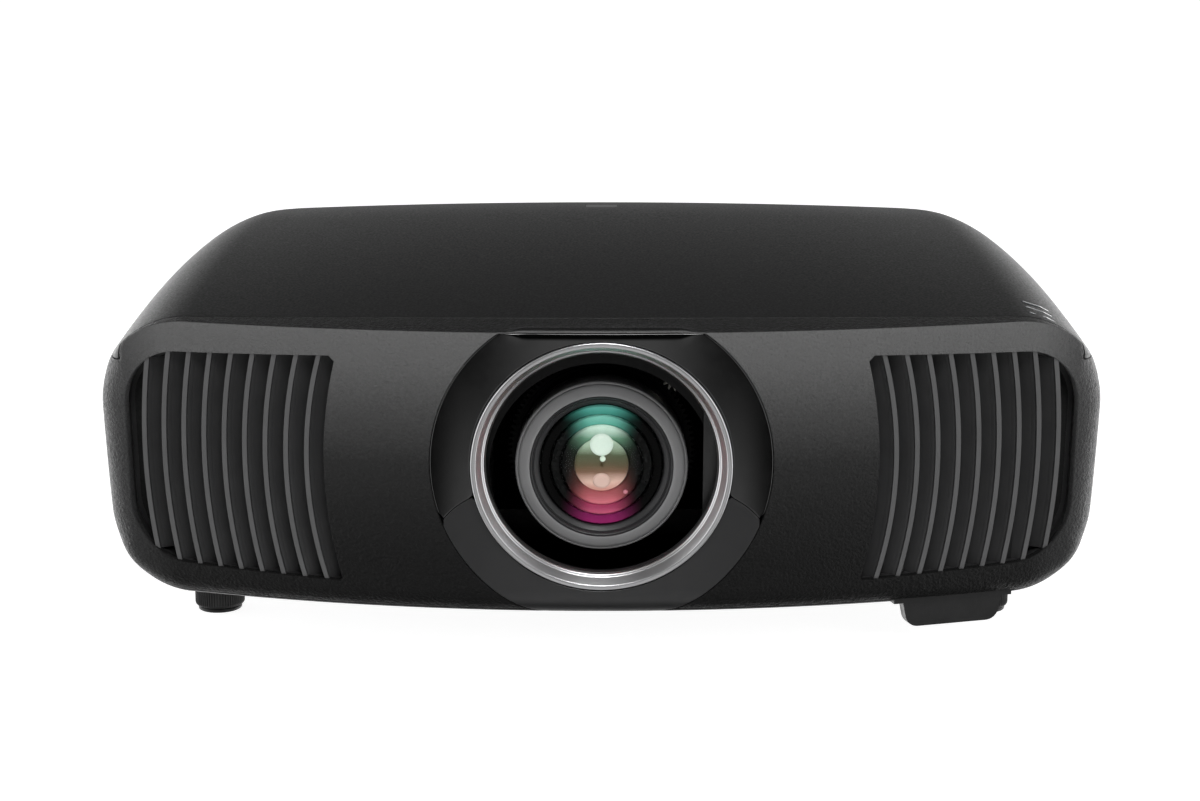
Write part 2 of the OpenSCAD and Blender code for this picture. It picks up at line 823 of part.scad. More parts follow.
module lens_barrel() {
    color("#1b1b1c") on_axis() difference() {
        union() {
            rod_y(barrel_r, -164, flange_y0 + 1, $fn = 96);
            block([-60, flange_y0, -52], [60, flange_y1, 62]);
            rod_y(rear_tube_r, flange_y1 - 1, -40);
            block([-8, -78, 60], [8, -69, 71.5]);
            block([-8, -78, 62.4], [8, -66.5, 71.5]);
            for (y = [focus_y0 - 2.2, focus_y0 + gear_w + 0.2, zoom_y0 - 2.2, zoom_y0 + gear_w + 0.2])
                rod_y(barrel_r + 1.6, y, y + 2);
        }
        rod_y(barrel_r - 2, -200, -78);
        rod_y(rear_tube_r - 3, -90, -30);
        translate([0, cross_screw_y, cross_screw_z]) rod_x(3 + run_fit, -20, 20);
    }
}

module front_group() {
    y0 = lens_front_y;
    color("#5a5b5c") on_axis() translate([0, y0, 0]) rotate([-90, 0, 0]) rotate_extrude($fn = 128)
        polygon([
            [barrel_r, 1], [barrel_r - 1, 0], [barrel_r - 2.5, 0.6], [37, 1.6], [36, 4.4],
            [glass_r + 0.3, 5.6], [glass_r + 0.3, 13], [29, 13], [29, 38], [barrel_r - 2.4, 38],
            [barrel_r - 2.4, 21], [barrel_r, 20]
        ]);
}

module front_glass() {
    dome_r = 62;
    tip = 1.6;
    color([0.35, 0.5, 0.48, 0.6]) on_axis() intersection() {
        rod_y(glass_r, lens_front_y, lens_front_y + 12.8);
        translate([0, lens_front_y + tip + dome_r, 0]) sphere(r = dome_r, $fn = 128);
    }
}

// Straight-flanked gear outline with play between the teeth.
module gear_2d(teeth) {
    pr = teeth * gear_m / 2;
    root = pr - 1.25 * gear_m;
    tip = pr + 0.85 * gear_m;
    half = 360 / teeth * 0.2;
    flank = atan(0.85 * gear_m * tan(20) / pr);
    polygon([for (k = [0 : teeth - 1]) let (a = k * 360 / teeth) each [
        root * [cos(a - half - 1.2 * flank), sin(a - half - 1.2 * flank)],
        tip * [cos(a - half + flank), sin(a - half + flank)],
        tip * [cos(a + half - flank), sin(a + half - flank)],
        root * [cos(a + half + 1.2 * flank), sin(a + half + 1.2 * flank)]
    ]]);
}

module ring_gear(y0) {
    on_axis() difference() {
        translate([0, y0 + gear_w / 2, 0]) along_y(gear_w) gear_2d(ring_teeth);
        rod_y(barrel_r + run_fit, y0 - 1, y0 + gear_w + 1, $fn = 96);
    }
}

module pinion(x, y0, shaft_end) {
    on_axis() translate([x, 0, pinion_off]) union() {
        translate([0, y0 + gear_w / 2, 0]) along_y(gear_w - 2) gear_2d(pinion_teeth);
        rod_y(1.5, y0 - 2, shaft_end);
    }
}

motor_y0 = -107;
module focus_ring() { color("#2a2a2c") ring_gear(focus_y0); }
module zoom_ring() { color("#2a2a2c") ring_gear(zoom_y0); }
module focus_pinion() { color("#d8d4c8") pinion(pinion_off, focus_y0, motor_y0 - 0.4); }
module zoom_pinion() { color("#d8d4c8") pinion(-pinion_off, zoom_y0, motor_y0 - 0.4); }
module lens_motors() {
    color("#55565a") on_axis() both_x() translate([pinion_off, 0, pinion_off]) rod_y(7.4, motor_y0, flange_y0);
}

// ---- Optics, light source, cooling, electronics ----

module optical_engine() {
    color("#6c6f73") difference() {
        union() {
            block([-74, -34, 52], [90, 78, 150]);
            block([-60, -34, 30], [-44, 60, 53]);
            block([60, -34, 30], [76, 60, 53]);
            block([-60, -34, foot_h + wall], [76, -26, 33]);
        }
        on_axis() rod_y(24, -40, -10);
    }
}

module light_source() {
    fin_count = 16;
    color("#9aa0a6") union() {
        block([-205, -60, 40], [-104, 60, 62]);
        block([-150, -60, 40], [-104, 60, 142]);
        for (k = [0 : fin_count - 1]) block([-205, -60 + k * 7.6, 61], [-149, -56.5 + k * 7.6, 142]);
        block([-190, -50, foot_h + wall], [-120, -40, 41]);
        block([-190, 40, foot_h + wall], [-120, 50, 41]);
        translate([0, wheel_y, wheel_z]) rod_x(7, -105, wheel_x - 5.4);
    }
}

module phosphor_wheel() {
    color("#d9c46a") translate([0, wheel_y, wheel_z]) difference() {
        union() {
            rod_x(30, wheel_x - 0.8, wheel_x + 0.8);
            rod_x(9, wheel_x - 5, wheel_x + 5);
        }
        rod_x(2, wheel_x - 20, wheel_x + 20);
    }
}

module fan_frame() {
    translate([fan_x, fan_y, fan_z]) difference() {
        union() {
            difference() {
                block([-fan_size / 2, 0, -fan_size / 2], [fan_size / 2, fan_depth, fan_size / 2]);
                rod_y(43, -1, fan_depth + 1);
            }
            rod_y(17, fan_depth - 4, fan_depth);
            for (a = [90, 210, 330]) rotate([0, a, 0]) block([0, fan_depth - 3, -2], [44, fan_depth, 2]);
        }
        for (x = [-41, 41], z = [-41, 41]) translate([x, 0, z]) rod_y(2.2, -1, fan_depth + 1);
    }
}

module fan_frames() { color("#18181a") both_x() fan_frame(); }

module fan_rotor(x) {
    blade_n = 7;
    color("#222326") translate([x, fan_y, fan_z]) union() {
        rod_y(17, 2, fan_depth - 5);
        intersection() {
            rod_y(41.5, 2, fan_depth - 5);
            for (k = [0 : blade_n - 1]) rotate([0, k * 360 / blade_n, 0])
                translate([29, 11, 0]) rotate([38, 0, 0]) cube([30, 24, 1.6], center = true);
        }
    }
}

module left_fan_rotor() { fan_rotor(-fan_x); }
module right_fan_rotor() { fan_rotor(fan_x); }

module power_supply() {
    color("#4c6a4e") union() {
        difference() {
            block([104, -50, 34], [232, 175, 36]);
            translate([post_at[1][0], post_at[1][1], 30]) cylinder(r = 7.6, h = 10);
        }
        for (x = [116, 200], y = [-42, 165]) translate([x, y, foot_h + wall]) cylinder(r = 4, h = 8);
        block([112, 40, 35.9], [160, 150, 78]);
        block([170, -40, 35.9], [226, 60, 70]);
        for (y = [80, 110, 140]) translate([200, y, 35.9]) cylinder(r = 12, h = 36);
    }
}

module main_board() {
    color("#2f5a3a") union() {
        block([-158, 84, board_z], [92, 202.5, board_z + 1.6]);
        for (x = [-150, 86], y = [92, 190]) translate([x, y, foot_h + wall]) cylinder(r = 4, h = board_z - foot_h - wall + 0.1);
        block([-100, 100, board_z + 1.5], [-50, 150, board_z + 12]);
        block([10, 105, board_z + 1.5], [40, 135, board_z + 4]);
    }
}

module case_screw(length, head_r, head_h, shank_r, key_r) {
    difference() {
        union() {
            cylinder(r = head_r, h = head_h);
            cylinder(r = shank_r, h = length);
        }
        translate([0, 0, -1]) cylinder(r = key_r, h = 1 + head_h * 0.55, $fn = 6);
    }
}

module case_screws() {
    color("#303033") {
        both_x() for (p = post_at) translate([p[0], p[1], 38.9]) case_screw(44, 3.8, 3, 1.95, 1.5);
        for (x = rear_screw_x) translate([x, back_y - 0.1, rear_screw_z]) rotate([90, 0, 0])
            case_screw(13, rear_head_r, 1.2, 1.5, 1.1);
    }
}

// ---- Selection ----

front_panel();
top_cover();
bottom_case();
rear_panel();
lens_surround();
chin_trim();
lens_ring();
shutter_housing();
shutter_leaf_front();
shutter_leaf_rear();
left_grille();
right_grille();
light_guides();
blank_label();
control_plate();
power_button();
menu_button();
escape_button();
enter_button();
up_button();
down_button();
left_button();
right_button();
io_plate();
hdmi_sockets();
lan_socket();
usb_sockets();
serial_port();
trigger_jack();
ac_inlet();
left_foot_screw();
right_foot_screw();
left_foot_pad();
right_foot_pad();
rear_feet();
filter_cassette();
filter_media();
shift_base();
vertical_carriage();
vertical_screw();
horizontal_screw();
vertical_motor();
horizontal_motor();
lens_barrel();
front_group();
front_glass();
focus_ring();
zoom_ring();
focus_pinion();
zoom_pinion();
lens_motors();
optical_engine();
light_source();
phosphor_wheel();
fan_frames();
left_fan_rotor();
right_fan_rotor();
power_supply();
main_board();
case_screws();
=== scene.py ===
"""Looks of the home projector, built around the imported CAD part.

Shapes are worked out in millimetres and become metres when they turn into meshes.
"""
import math

import bpy
import numpy as np
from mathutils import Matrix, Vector


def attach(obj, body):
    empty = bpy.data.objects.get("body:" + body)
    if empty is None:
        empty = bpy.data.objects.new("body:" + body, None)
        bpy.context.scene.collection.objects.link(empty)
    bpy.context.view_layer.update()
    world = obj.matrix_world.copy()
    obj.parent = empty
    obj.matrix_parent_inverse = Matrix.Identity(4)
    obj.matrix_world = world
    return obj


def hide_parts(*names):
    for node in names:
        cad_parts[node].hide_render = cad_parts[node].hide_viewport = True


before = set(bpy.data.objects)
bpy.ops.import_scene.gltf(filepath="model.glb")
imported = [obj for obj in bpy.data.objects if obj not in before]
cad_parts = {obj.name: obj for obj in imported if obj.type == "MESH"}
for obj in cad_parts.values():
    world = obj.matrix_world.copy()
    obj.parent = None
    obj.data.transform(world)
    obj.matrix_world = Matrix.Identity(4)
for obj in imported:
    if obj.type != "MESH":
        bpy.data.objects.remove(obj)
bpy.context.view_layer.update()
MM = 0.001

# ---------------------------------------------------------------- case shape (mm)
# v is the distance behind the front, at y = FRONT
FRONT = -223.5
DEPTH = 447.0
HALF = 260.0
BOW = 668.0  # radius of the face in plan
FACE_TOP = 172.9
TILT = math.radians(6)  # lean of the face
BASE_Z = 23.95
TOP_R = 51.0  # corners of the section
LOW_R = 43.0
BACK_R = 81.0  # corners of the plan
BACK_EDGE_R = 25.0  # upper and lower rear edges
LOW_EDGE_R = 6.0
TAPER_V = 150.0  # the sides draw in behind here
TAPER = 8.2
CROWN_V = 295.4  # highest point of the top
CROWN_Z = 192.8
FRONT_FALL = 19.94
BACK_FALL = 12.5
LEAN_Z = 144.0  # the sides lean in below here
LEAN = 4.1
SKIN_V = 84.0  # end of the first rings of the skin
SEAM_V = 25.0  # seam between face and top cover
SEAM_R = 1228.0
PANEL_Y = -141.5  # borders of the shells
PANEL_Z = 150.0
PART_Z = 96.0
LIP_Z = 44.0
REAR_Y = 183.5
GAP = 0.35
WALL = 2.8
TRIM_WALL = 3.4
RING_DROP = 69.9  # from FACE_TOP down to the ring's axis
RING_OUT = 65.1
SURROUND_OUT = 85.8
SURROUND_DEPTH = 9.3
FOOT = (209, -112)


def smooth(t):
    t = np.clip(t, 0, 1)
    return t * t * (3 - 2 * t)


def half_width(v):
    taper = TAPER * np.clip((v - TAPER_V) / (DEPTH - TAPER_V), 0, None) ** 2
    t = np.clip((v - DEPTH + BACK_R) / BACK_R, 0, 1)
    return HALF - taper - BACK_R * (1 - np.sqrt(1 - t * t))


def top_height(v):
    ahead = FRONT_FALL * np.clip((CROWN_V - v) / CROWN_V, 0, None) ** 2
    behind = BACK_FALL * np.clip((v - CROWN_V) / (DEPTH - CROWN_V), 0, None) ** 2
    t = np.clip((v - DEPTH + BACK_EDGE_R) / BACK_EDGE_R, 0, 1)
    return CROWN_Z - ahead - behind - BACK_EDGE_R * (1 - np.sqrt(1 - t * t))


def base_height(v):
    t = np.clip((v - DEPTH + LOW_EDGE_R) / LOW_EDGE_R, 0, 1)
    return BASE_Z + LOW_EDGE_R * (1 - np.sqrt(1 - t * t))


def cross_drop(x):
    """How far the arched top has fallen at x."""
    return 5 * (x / 225) ** 2


def side_lean(z):
    return LEAN * np.clip((LEAN_Z - z) / 120, 0, 1) ** 2


def face_v(x, z):
    """Depth of the bowed and leaning face."""
    return BOW - np.sqrt(BOW * BOW - x * x) + (FACE_TOP - z) * math.tan(TILT)


# columns round the section, from the top left corner clockwise as seen from the front
N_CROWN, N_ARC, N_SIDE, N_BASE = 76, 13, 18, 76


def half_columns():
    """(kind, share) of the columns from the top middle down the right side to the bottom middle."""
    cols = [("crown", i / N_CROWN) for i in range(N_CROWN)]
    cols += [("top", i / (2 * N_ARC)) for i in range(2 * N_ARC)]
    cols += [("side", i / N_SIDE) for i in range(N_SIDE)]
    cols += [("low", i / (2 * N_ARC)) for i in range(2 * N_ARC)]
    cols += [("base", i / N_BASE) for i in range(N_BASE + 1)]
    return cols


def half_profile(v):
    """x and z of each column of the right half at its own depth v."""
    cols = half_columns()
    kind = np.array([c[0] for c in cols])
    t = np.array([c[1] for c in cols])
    w, top, base = half_width(v), top_height(v), base_height(v)
    a = t * math.pi / 2
    x_top = w - TOP_R + TOP_R * np.sin(a)
    z_side_top = top - TOP_R - cross_drop(w)
    z_side_low = base + LOW_R
    x = np.select(
        [kind == "crown", kind == "top", kind == "side", kind == "low"],
        [t * (w - TOP_R), x_top, w, w - LOW_R + LOW_R * np.cos(a)],
        (1 - t) * (w - LOW_R),
    )
    z = np.select(
        [kind == "crown", kind == "top", kind == "side", kind == "low"],
        [
            top - cross_drop(x),
            top - TOP_R * (1 - np.cos(a)) - cross_drop(x),
            z_side_top + (z_side_low - z_side_top) * t,
            base + LOW_R * (1 - np.sin(a)),
        ],
        base,
    )
    return x * (1 - side_lean(z) / w), z


def loop_profile(v_half):
    """The whole closed loop, starting at the top left 45 degree point."""
    x, z = half_profile(v_half)
    right = np.stack([x, z], 1)
    left = np.stack([-x[1:-1], z[1:-1]], 1)[::-1]
    ring = np.concatenate([right, left])
    return np.roll(ring, N_CROWN + N_ARC, axis=0)


def loop_values(h):
    """A value per half column, spread over the closed loop."""
    return np.roll(np.concatenate([h, h[1:-1][::-1]]), N_CROWN + N_ARC)


NX = 2 * (N_CROWN + N_ARC)
NZ = 2 * N_ARC + N_SIDE
LIP_HALF = 47.0
BELLY_R = 15.0


def lip_window(x):
    """1 over the lens, where the top edge has a small lip, and 0 at both sides."""
    return smooth((LIP_HALF - np.abs(x)) / 9.0)


def build_skin():
    """The closed outer surface of the case as vertices and quads, in mm."""
    n_half = len(half_columns())
    v_half = np.full(n_half, 30.0)
    for _ in range(4):
        x, z = half_profile(v_half)
        v_half = np.clip(face_v(x, z) + 2, 0, None)
    p = loop_profile(v_half)
    nxt, prv = np.roll(p, -1, 0), np.roll(p, 1, 0)
    tangent = nxt - prv
    tangent /= np.linalg.norm(tangent, axis=1)[:, None]
    normal = np.stack([-tangent[:, 1], tangent[:, 0]], 1)
    normal *= np.sign((normal * (p - [0, 100])).sum(1))[:, None]
    ax = np.abs(normal[:, 0])
    up = normal[:, 1]
    radius = 1.3 + 25 * smooth((ax - 0.62) / 0.38)
    radius += (BELLY_R - radius) * smooth((-up - 0.35) / 0.5)
    radius += np.where(up > 0.6, 2.6 * lip_window(p[:, 0]), 0)
    slope_x = p[:, 0] / np.sqrt(BOW * BOW - p[:, 0] ** 2)
    g = slope_x * normal[:, 0] - math.tan(TILT) * normal[:, 1]
    f0 = face_v(p[:, 0], p[:, 1])
    root = np.sqrt(1 + g * g)
    vc = f0 - g * radius + radius * root
    end = np.arctan2(1, g)
    rings = []
    steps = 8
    for j in range(steps, 0, -1):
        alpha = end * j / steps
        s = -radius + radius * np.cos(alpha)
        v = vc - radius * np.sin(alpha)
        q = p + normal * s[:, None]
        rings.append(np.stack([q[:, 0], v, q[:, 1]], 1))
    back_a = DEPTH - BACK_R + BACK_R * np.sin(np.radians(np.arange(0, 91, 7.5)))
    back_b = DEPTH - BACK_EDGE_R + BACK_EDGE_R * np.sin(np.radians(np.arange(0, 90, 15)))
    back = np.unique(np.round(np.concatenate([back_a, back_b, [441, 443, 445]]), 2))
    shares = np.array([0, 0.03, 0.08, 0.15, 0.25, 0.37, 0.5, 0.64, 0.8, 1.0])
    half_v = vc[(np.arange(n_half) + N_CROWN + N_ARC) % len(vc)]
    for s in shares:
        v = half_v + (SKIN_V - half_v) * s
        q = loop_profile(v)
        rings.append(np.stack([q[:, 0], loop_values(v), q[:, 1]], 1))
    for v0 in list(np.linspace(SKIN_V, DEPTH - BACK_R, 42)[1:]) + list(back[1:]):
        q = loop_profile(np.full(n_half, v0))
        rings.append(np.stack([q[:, 0], np.full(len(q), v0), q[:, 1]], 1))
    n = len(p)
    verts = list(np.concatenate(rings))
    polys = []
    for k in range(len(rings) - 1):
        for i in range(n):
            i2 = (i + 1) % n
            polys.append((k * n + i, k * n + i2, (k + 1) * n + i2, (k + 1) * n + i))

    def fill(offset, ring, lift, flip):
        """Closes a ring with a grid; lift moves each of its points."""
        top = ring[: NX + 1]
        right = ring[NX : NX + NZ + 1]
        low = ring[NX + NZ : 2 * NX + NZ + 1][::-1]
        left = np.concatenate([ring[2 * NX + NZ :], ring[:1]])[::-1]
        ids = -np.ones((NX + 1, NZ + 1), int)
        for i in range(NX + 1):
            ids[i, 0] = offset + i
            ids[i, NZ] = offset + 2 * NX + NZ - i
        for j in range(NZ + 1):
            ids[NX, j] = offset + NX + j
            ids[0, j] = offset + (n - j) % n
        for i in range(1, NX):
            for j in range(1, NZ):
                s, t = i / NX, j / NZ
                c = (1 - t) * top[i] + t * low[i] + (1 - s) * left[j] + s * right[j]
                c = c - (1 - s) * (1 - t) * top[0] - s * (1 - t) * top[NX]
                c = c - (1 - s) * t * low[0] - s * t * low[NX]
                ids[i, j] = len(verts)
                verts.append(lift(c))
        for i in range(NX):
            for j in range(NZ):
                q = (ids[i, j], ids[i + 1, j], ids[i + 1, j + 1], ids[i, j + 1])
                polys.append(q if flip else q[::-1])

    fill(0, rings[0], lambda c: np.array([c[0], face_v(c[0], c[2]), c[2]]), False)
    fill((len(rings) - 1) * n, rings[-1], lambda c: c, True)
    verts = np.array(verts)
    rise = 1.5 * lip_window(verts[:, 0]) * smooth((12.0 - verts[:, 1]) / 8.0)
    verts[:, 2] += rise * smooth((verts[:, 2] - 169.0) / 3.5)
    verts[:, 1] += FRONT
    return verts, polys


def mesh_normals(verts, polys):
    """Outward vertex normals, weighted by area."""
    normals = np.zeros_like(verts)
    for p in polys:
        a = verts[list(p)]
        c = np.zeros(3)
        for k in range(1, len(a) - 1):
            c += np.cross(a[k] - a[0], a[k + 1] - a[0])
        normals[list(p)] += c
    length = np.linalg.norm(normals, axis=1)
    length[length == 0] = 1
    return normals / length[:, None]


class Sheet:
    """A polygon surface that implicit functions trim. Each vertex carries its outward normal."""

    def __init__(self, verts, normals, polys):
        self.v, self.n, self.p = verts, normals, polys

    def split(self, f, level=0.0, keep_outside=False):
        """Cut along f = level and drop the lower side unless it is kept."""
        g = f(self.v) - level
        g[np.abs(g) < 1e-4] = 1e-4
        inside = g > 0
        new_v, new_n, cache, out = [], [], {}, []
        base = len(self.v)

        def crossing(a, b):
            key = (a, b) if a < b else (b, a)
            if key not in cache:
                t = g[key[0]] / (g[key[0]] - g[key[1]])
                cache[key] = base + len(new_v)
                new_v.append(self.v[key[0]] * (1 - t) + self.v[key[1]] * t)
                m = self.n[key[0]] * (1 - t) + self.n[key[1]] * t
                new_n.append(m / max(np.linalg.norm(m), 1e-9))
            return cache[key]

        for poly in self.p:
            flags = [inside[i] for i in poly]
            if all(flags):
                out.append(poly)
                continue
            if not any(flags):
                if keep_outside:
                    out.append(poly)
                continue
            kept, cut = [], []
            for k, a in enumerate(poly):
                b = poly[(k + 1) % len(poly)]
                (kept if inside[a] else cut).append(a)
                if inside[a] != inside[b]:
                    c = crossing(a, b)
                    kept.append(c)
                    cut.append(c)
            if len(kept) > 2:
                out.append(tuple(kept))
            if keep_outside and len(cut) > 2:
                out.append(tuple(cut))
        verts = np.concatenate([self.v, np.array(new_v).reshape(-1, 3)])
        normals = np.concatenate([self.n, np.array(new_n).reshape(-1, 3)])
        return Sheet(verts, normals, out)

    def compact(self):
        used = sorted({i for p in self.p for i in p})
        at = {o: k for k, o in enumerate(used)}
        return Sheet(self.v[used], self.n[used], [tuple(at[i] for i in p) for p in self.p])


def trimmed(sheet, f, roll=0.6):
    """The part where f is positive, with an edge that rolls inwards by roll."""
    part = sheet.split(f).compact()
    if roll:
        for share in (0.08, 0.3, 0.6, 1.0, 1.8):
            part = part.split(f, roll * share, keep_outside=True)
        part = part.compact()
        g = np.clip(f(part.v), 0, roll)
        sink = roll - np.sqrt(np.clip(roll**2 - (roll - g) ** 2, 0, None))
        part.v = part.v - part.n * sink[:, None]
    return part


def thickened(sheet, t):
    """Outer surface, inner surface t below it and a rim round each open edge."""
    n = len(sheet.v)
    edges = {}
    for p in sheet.p:
        for k, a in enumerate(p):
            b = p[(k + 1) % len(p)]
            edges[(a, b)] = edges.get((a, b), 0) + 1
    polys = list(sheet.p) + [tuple(i + n for i in reversed(p)) for p in sheet.p]
    for a, b in edges:
        if (b, a) not in edges:
            polys.append((b, a, a + n, b + n))
    return np.concatenate([sheet.v, sheet.v - sheet.n * t]), polys


def add_piece(name, verts, polys, body="case", nodes=(), material=None, sharp=38):
    """A mesh piece from mm coordinates, riding on a body and standing for CAD nodes."""
    mesh = bpy.data.meshes.new(name)
    mesh.from_pydata([tuple(map(float, v)) for v in np.asarray(verts) * MM], [], polys)
    mesh.validate()
    mesh.shade_smooth()
    mesh.set_sharp_from_angle(angle=math.radians(sharp))
    obj = bpy.data.objects.new(name, mesh)
    bpy.context.scene.collection.objects.link(obj)
    if material is not None:
        mesh.materials.append(material)
    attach(obj, body)
    if nodes:
        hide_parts(*nodes)
    return obj


def lathe(points, steps=128):
    """Vertices and faces of a profile of (radius, depth) turned about the y axis."""
    verts, polys = [], []
    n = len(points)
    for k in range(steps):
        a = 2 * math.pi * k / steps
        for r, d in points:
            verts.append((r * math.sin(a), d, r * math.cos(a)))
    for k in range(steps):
        k2 = (k + 1) % steps
        for i in range(n):
            j = (i + 1) % n
            polys.append((k * n + i, k * n + j, k2 * n + j, k2 * n + i))
    return np.array(verts), polys


def turned(name, points, place, body, nodes, material, sharp, steps=128):
    """A lathe piece facing the front, moved into place by a function of its vertices."""
    verts, polys = lathe(points, steps)
    return add_piece(name, place(verts), [p[::-1] for p in polys], body, nodes, material, sharp)


def on_ring(verts):
    """From the frame of the leaning lens ring to the row frame."""
    v = np.asarray(verts, float)
    y, z = v[:, 1], v[:, 2] - RING_DROP
    c, s = math.cos(TILT), math.sin(TILT)
    return np.stack([v[:, 0], FRONT + y * c - z * s, FACE_TOP + y * s + z * c], 1)


def ring_frame(v):
    """Distance from the ring's axis and depth behind the leaning face."""
    d, h = v[:, 1] - FRONT, v[:, 2] - FACE_TOP
    depth = d * math.cos(TILT) + h * math.sin(TILT)
    up = -d * math.sin(TILT) + h * math.cos(TILT) + RING_DROP
    return np.hypot(v[:, 0], up), depth


# ---------------------------------------------------------------- materials
def ramp(nodes, stops):
    """Colour ramp through (position, grey or colour) stops."""
    node = nodes.new("ShaderNodeValToRGB")
    el = node.color_ramp.elements
    while len(el) < len(stops):
        el.new(0.5)
    for e, (pos, col) in zip(el, stops):
        e.position = pos
        e.color = (*col, 1) if hasattr(col, "__len__") else (col, col, col, 1)
    return node


def math_node(nodes, links, op, a, b):
    """A maths node whose inputs are numbers or sockets; returns its output."""
    node = nodes.new("ShaderNodeMath")
    node.operation = op
    for k, value in enumerate((a, b)):
        if isinstance(value, (int, float)):
            node.inputs[k].default_value = value
        else:
            links.new(value, node.inputs[k])
    return node.outputs[0]


def soft_step(nodes, links, value, lo, hi):
    """0 at lo and 1 at hi, eased at both ends."""
    node = nodes.new("ShaderNodeMapRange")
    node.interpolation_type = "SMOOTHSTEP"
    node.inputs["From Min"].default_value = lo
    node.inputs["From Max"].default_value = hi
    links.new(value, node.inputs["Value"])
    return node.outputs[0]


class Finish:
    """A procedural material: base colour with variation, roughness variation and bump in millimetre scale."""

    def __init__(self, name):
        self.m = bpy.data.materials.new(name)
        self.m.use_nodes = True
        self.nodes = self.m.node_tree.nodes
        self.links = self.m.node_tree.links
        self.bsdf = self.nodes["Principled BSDF"]
        self.coord = self.nodes.new("ShaderNodeTexCoord").outputs["Object"]
        self.height = None

    def new(self, kind, **inputs):
        node = self.nodes.new(kind)
        for key, value in inputs.items():
            node.inputs[key].default_value = value
        return node

    def noise(self, size, detail=3.0, stretch=None, distortion=0.0, rough=0.5):
        """Noise with features about size mm across; stretch scales the axes."""
        node = self.new(
            "ShaderNodeTexNoise", Scale=1.0, Detail=detail, Roughness=rough, Distortion=distortion)
        mapping = self.new("ShaderNodeMapping")
        s = 1000.0 / size
        mapping.inputs["Scale"].default_value = [s * k for k in (stretch or (1, 1, 1))]
        self.links.new(self.coord, mapping.inputs["Vector"])
        self.links.new(mapping.outputs[0], node.inputs["Vector"])
        return node.outputs["Fac"]

    def cells(self, size, feature="F1"):
        """Distance from scattered points about size mm apart."""
        node = self.new("ShaderNodeTexVoronoi", Scale=1000.0 / size)
        node.feature = feature
        self.links.new(self.coord, node.inputs["Vector"])
        return node.outputs["Distance"]

    def math(self, op, a, b):
        return math_node(self.nodes, self.links, op, a, b)

    def map(self, value, lo, hi, to_lo, to_hi):
        node = self.new("ShaderNodeMapRange")
        for key, v in (("From Min", lo), ("From Max", hi), ("To Min", to_lo), ("To Max", to_hi)):
            node.inputs[key].default_value = v
        self.links.new(value, node.inputs["Value"])
        return node.outputs[0]

    def axis(self, which):
        node = self.nodes.new("ShaderNodeSeparateXYZ")
        self.links.new(self.coord, node.inputs[0])
        return node.outputs[which]

    def facing(self, which):
        node = self.nodes.new("ShaderNodeSeparateXYZ")
        self.links.new(self.nodes.new("ShaderNodeNewGeometry").outputs["Normal"], node.inputs[0])
        return node.outputs[which]

    def blend(self, factor, a, b):
        """Colour a where factor is 0 and b where it is 1."""
        node = self.nodes.new("ShaderNodeMix")
        node.data_type = "RGBA"
        self.links.new(factor, node.inputs["Factor"])
        for key, value in (("A", a), ("B", b)):
            if isinstance(value, tuple):
                node.inputs[key].default_value = value
            else:
                self.links.new(value, node.inputs[key])
        return node.outputs["Result"]

    def bump(self, value, depth, strength=1.0):
        """Adds a height in mm; several calls stack."""
        node = self.new("ShaderNodeBump", Strength=strength, Distance=depth * MM)
        self.links.new(value, node.inputs["Height"])
        if self.height is not None:
            self.links.new(self.height, node.inputs["Normal"])
        self.height = node.outputs[0]
        self.links.new(self.height, self.bsdf.inputs["Normal"])
        return self

    def paint(self, value, stops):
        node = ramp(self.nodes, stops)
        self.links.new(value, node.inputs[0])
        self.links.new(node.outputs[0], self.bsdf.inputs["Base Color"])
        return node

    def rough(self, value, lo, hi):
        """Roughness between lo and hi, driven by a noise value."""
        self.links.new(self.map(value, 0.3, 0.7, lo, hi), self.bsdf.inputs["Roughness"])
        return self

    def set(self, **inputs):
        for key, value in inputs.items():
            self.bsdf.inputs[key.replace("_", " ")].default_value = value
        return self


def shade(c, k):
    """Colour c made k times as bright, up to 1."""
    return tuple(min(1.0, x * k) for x in c)


def plastic(name, colour, rough, size, depth, variation, specular=0.5):
    """Moulded plastic with a fine spark-eroded texture and slight mottling."""
    f = Finish(name)
    broad = f.noise(14, 2)
    f.paint(broad, [(0.3, shade(colour, 1 - variation)), (0.7, shade(colour, 1 + variation))])
    fine = f.noise(size, 3)
    f.rough(f.noise(3, 3), rough - 0.06, rough + 0.08)
    f.bump(fine, depth)
    return f.set(Specular_IOR_Level=specular).m


def metal(name, colour, rough, brush=(1, 1, 12), size=0.4, depth=0.006):
    """Satin metal with brushed streaks."""
    f = Finish(name)
    streak = f.noise(size * 10, 4, brush)
    f.paint(streak, [(0.25, shade(colour, 0.86)), (0.75, colour)])
    f.rough(f.noise(size, 3, brush), rough - 0.07, rough + 0.09)
    f.bump(f.noise(size, 2, brush), depth)
    return f.set(Metallic=1.0).m


def satin_ring():
    """Bead-blasted bright metal: even tone, very fine grain."""
    f = Finish("bright_ring")
    f.paint(f.noise(12, 2), [(0.3, (0.66, 0.66, 0.67)), (0.7, (0.69, 0.69, 0.70))])
    f.rough(f.noise(8, 2), 0.34, 0.37)
    f.bump(f.noise(0.25, 2), 0.002, 0.4)
    return f.set(Metallic=1.0).m


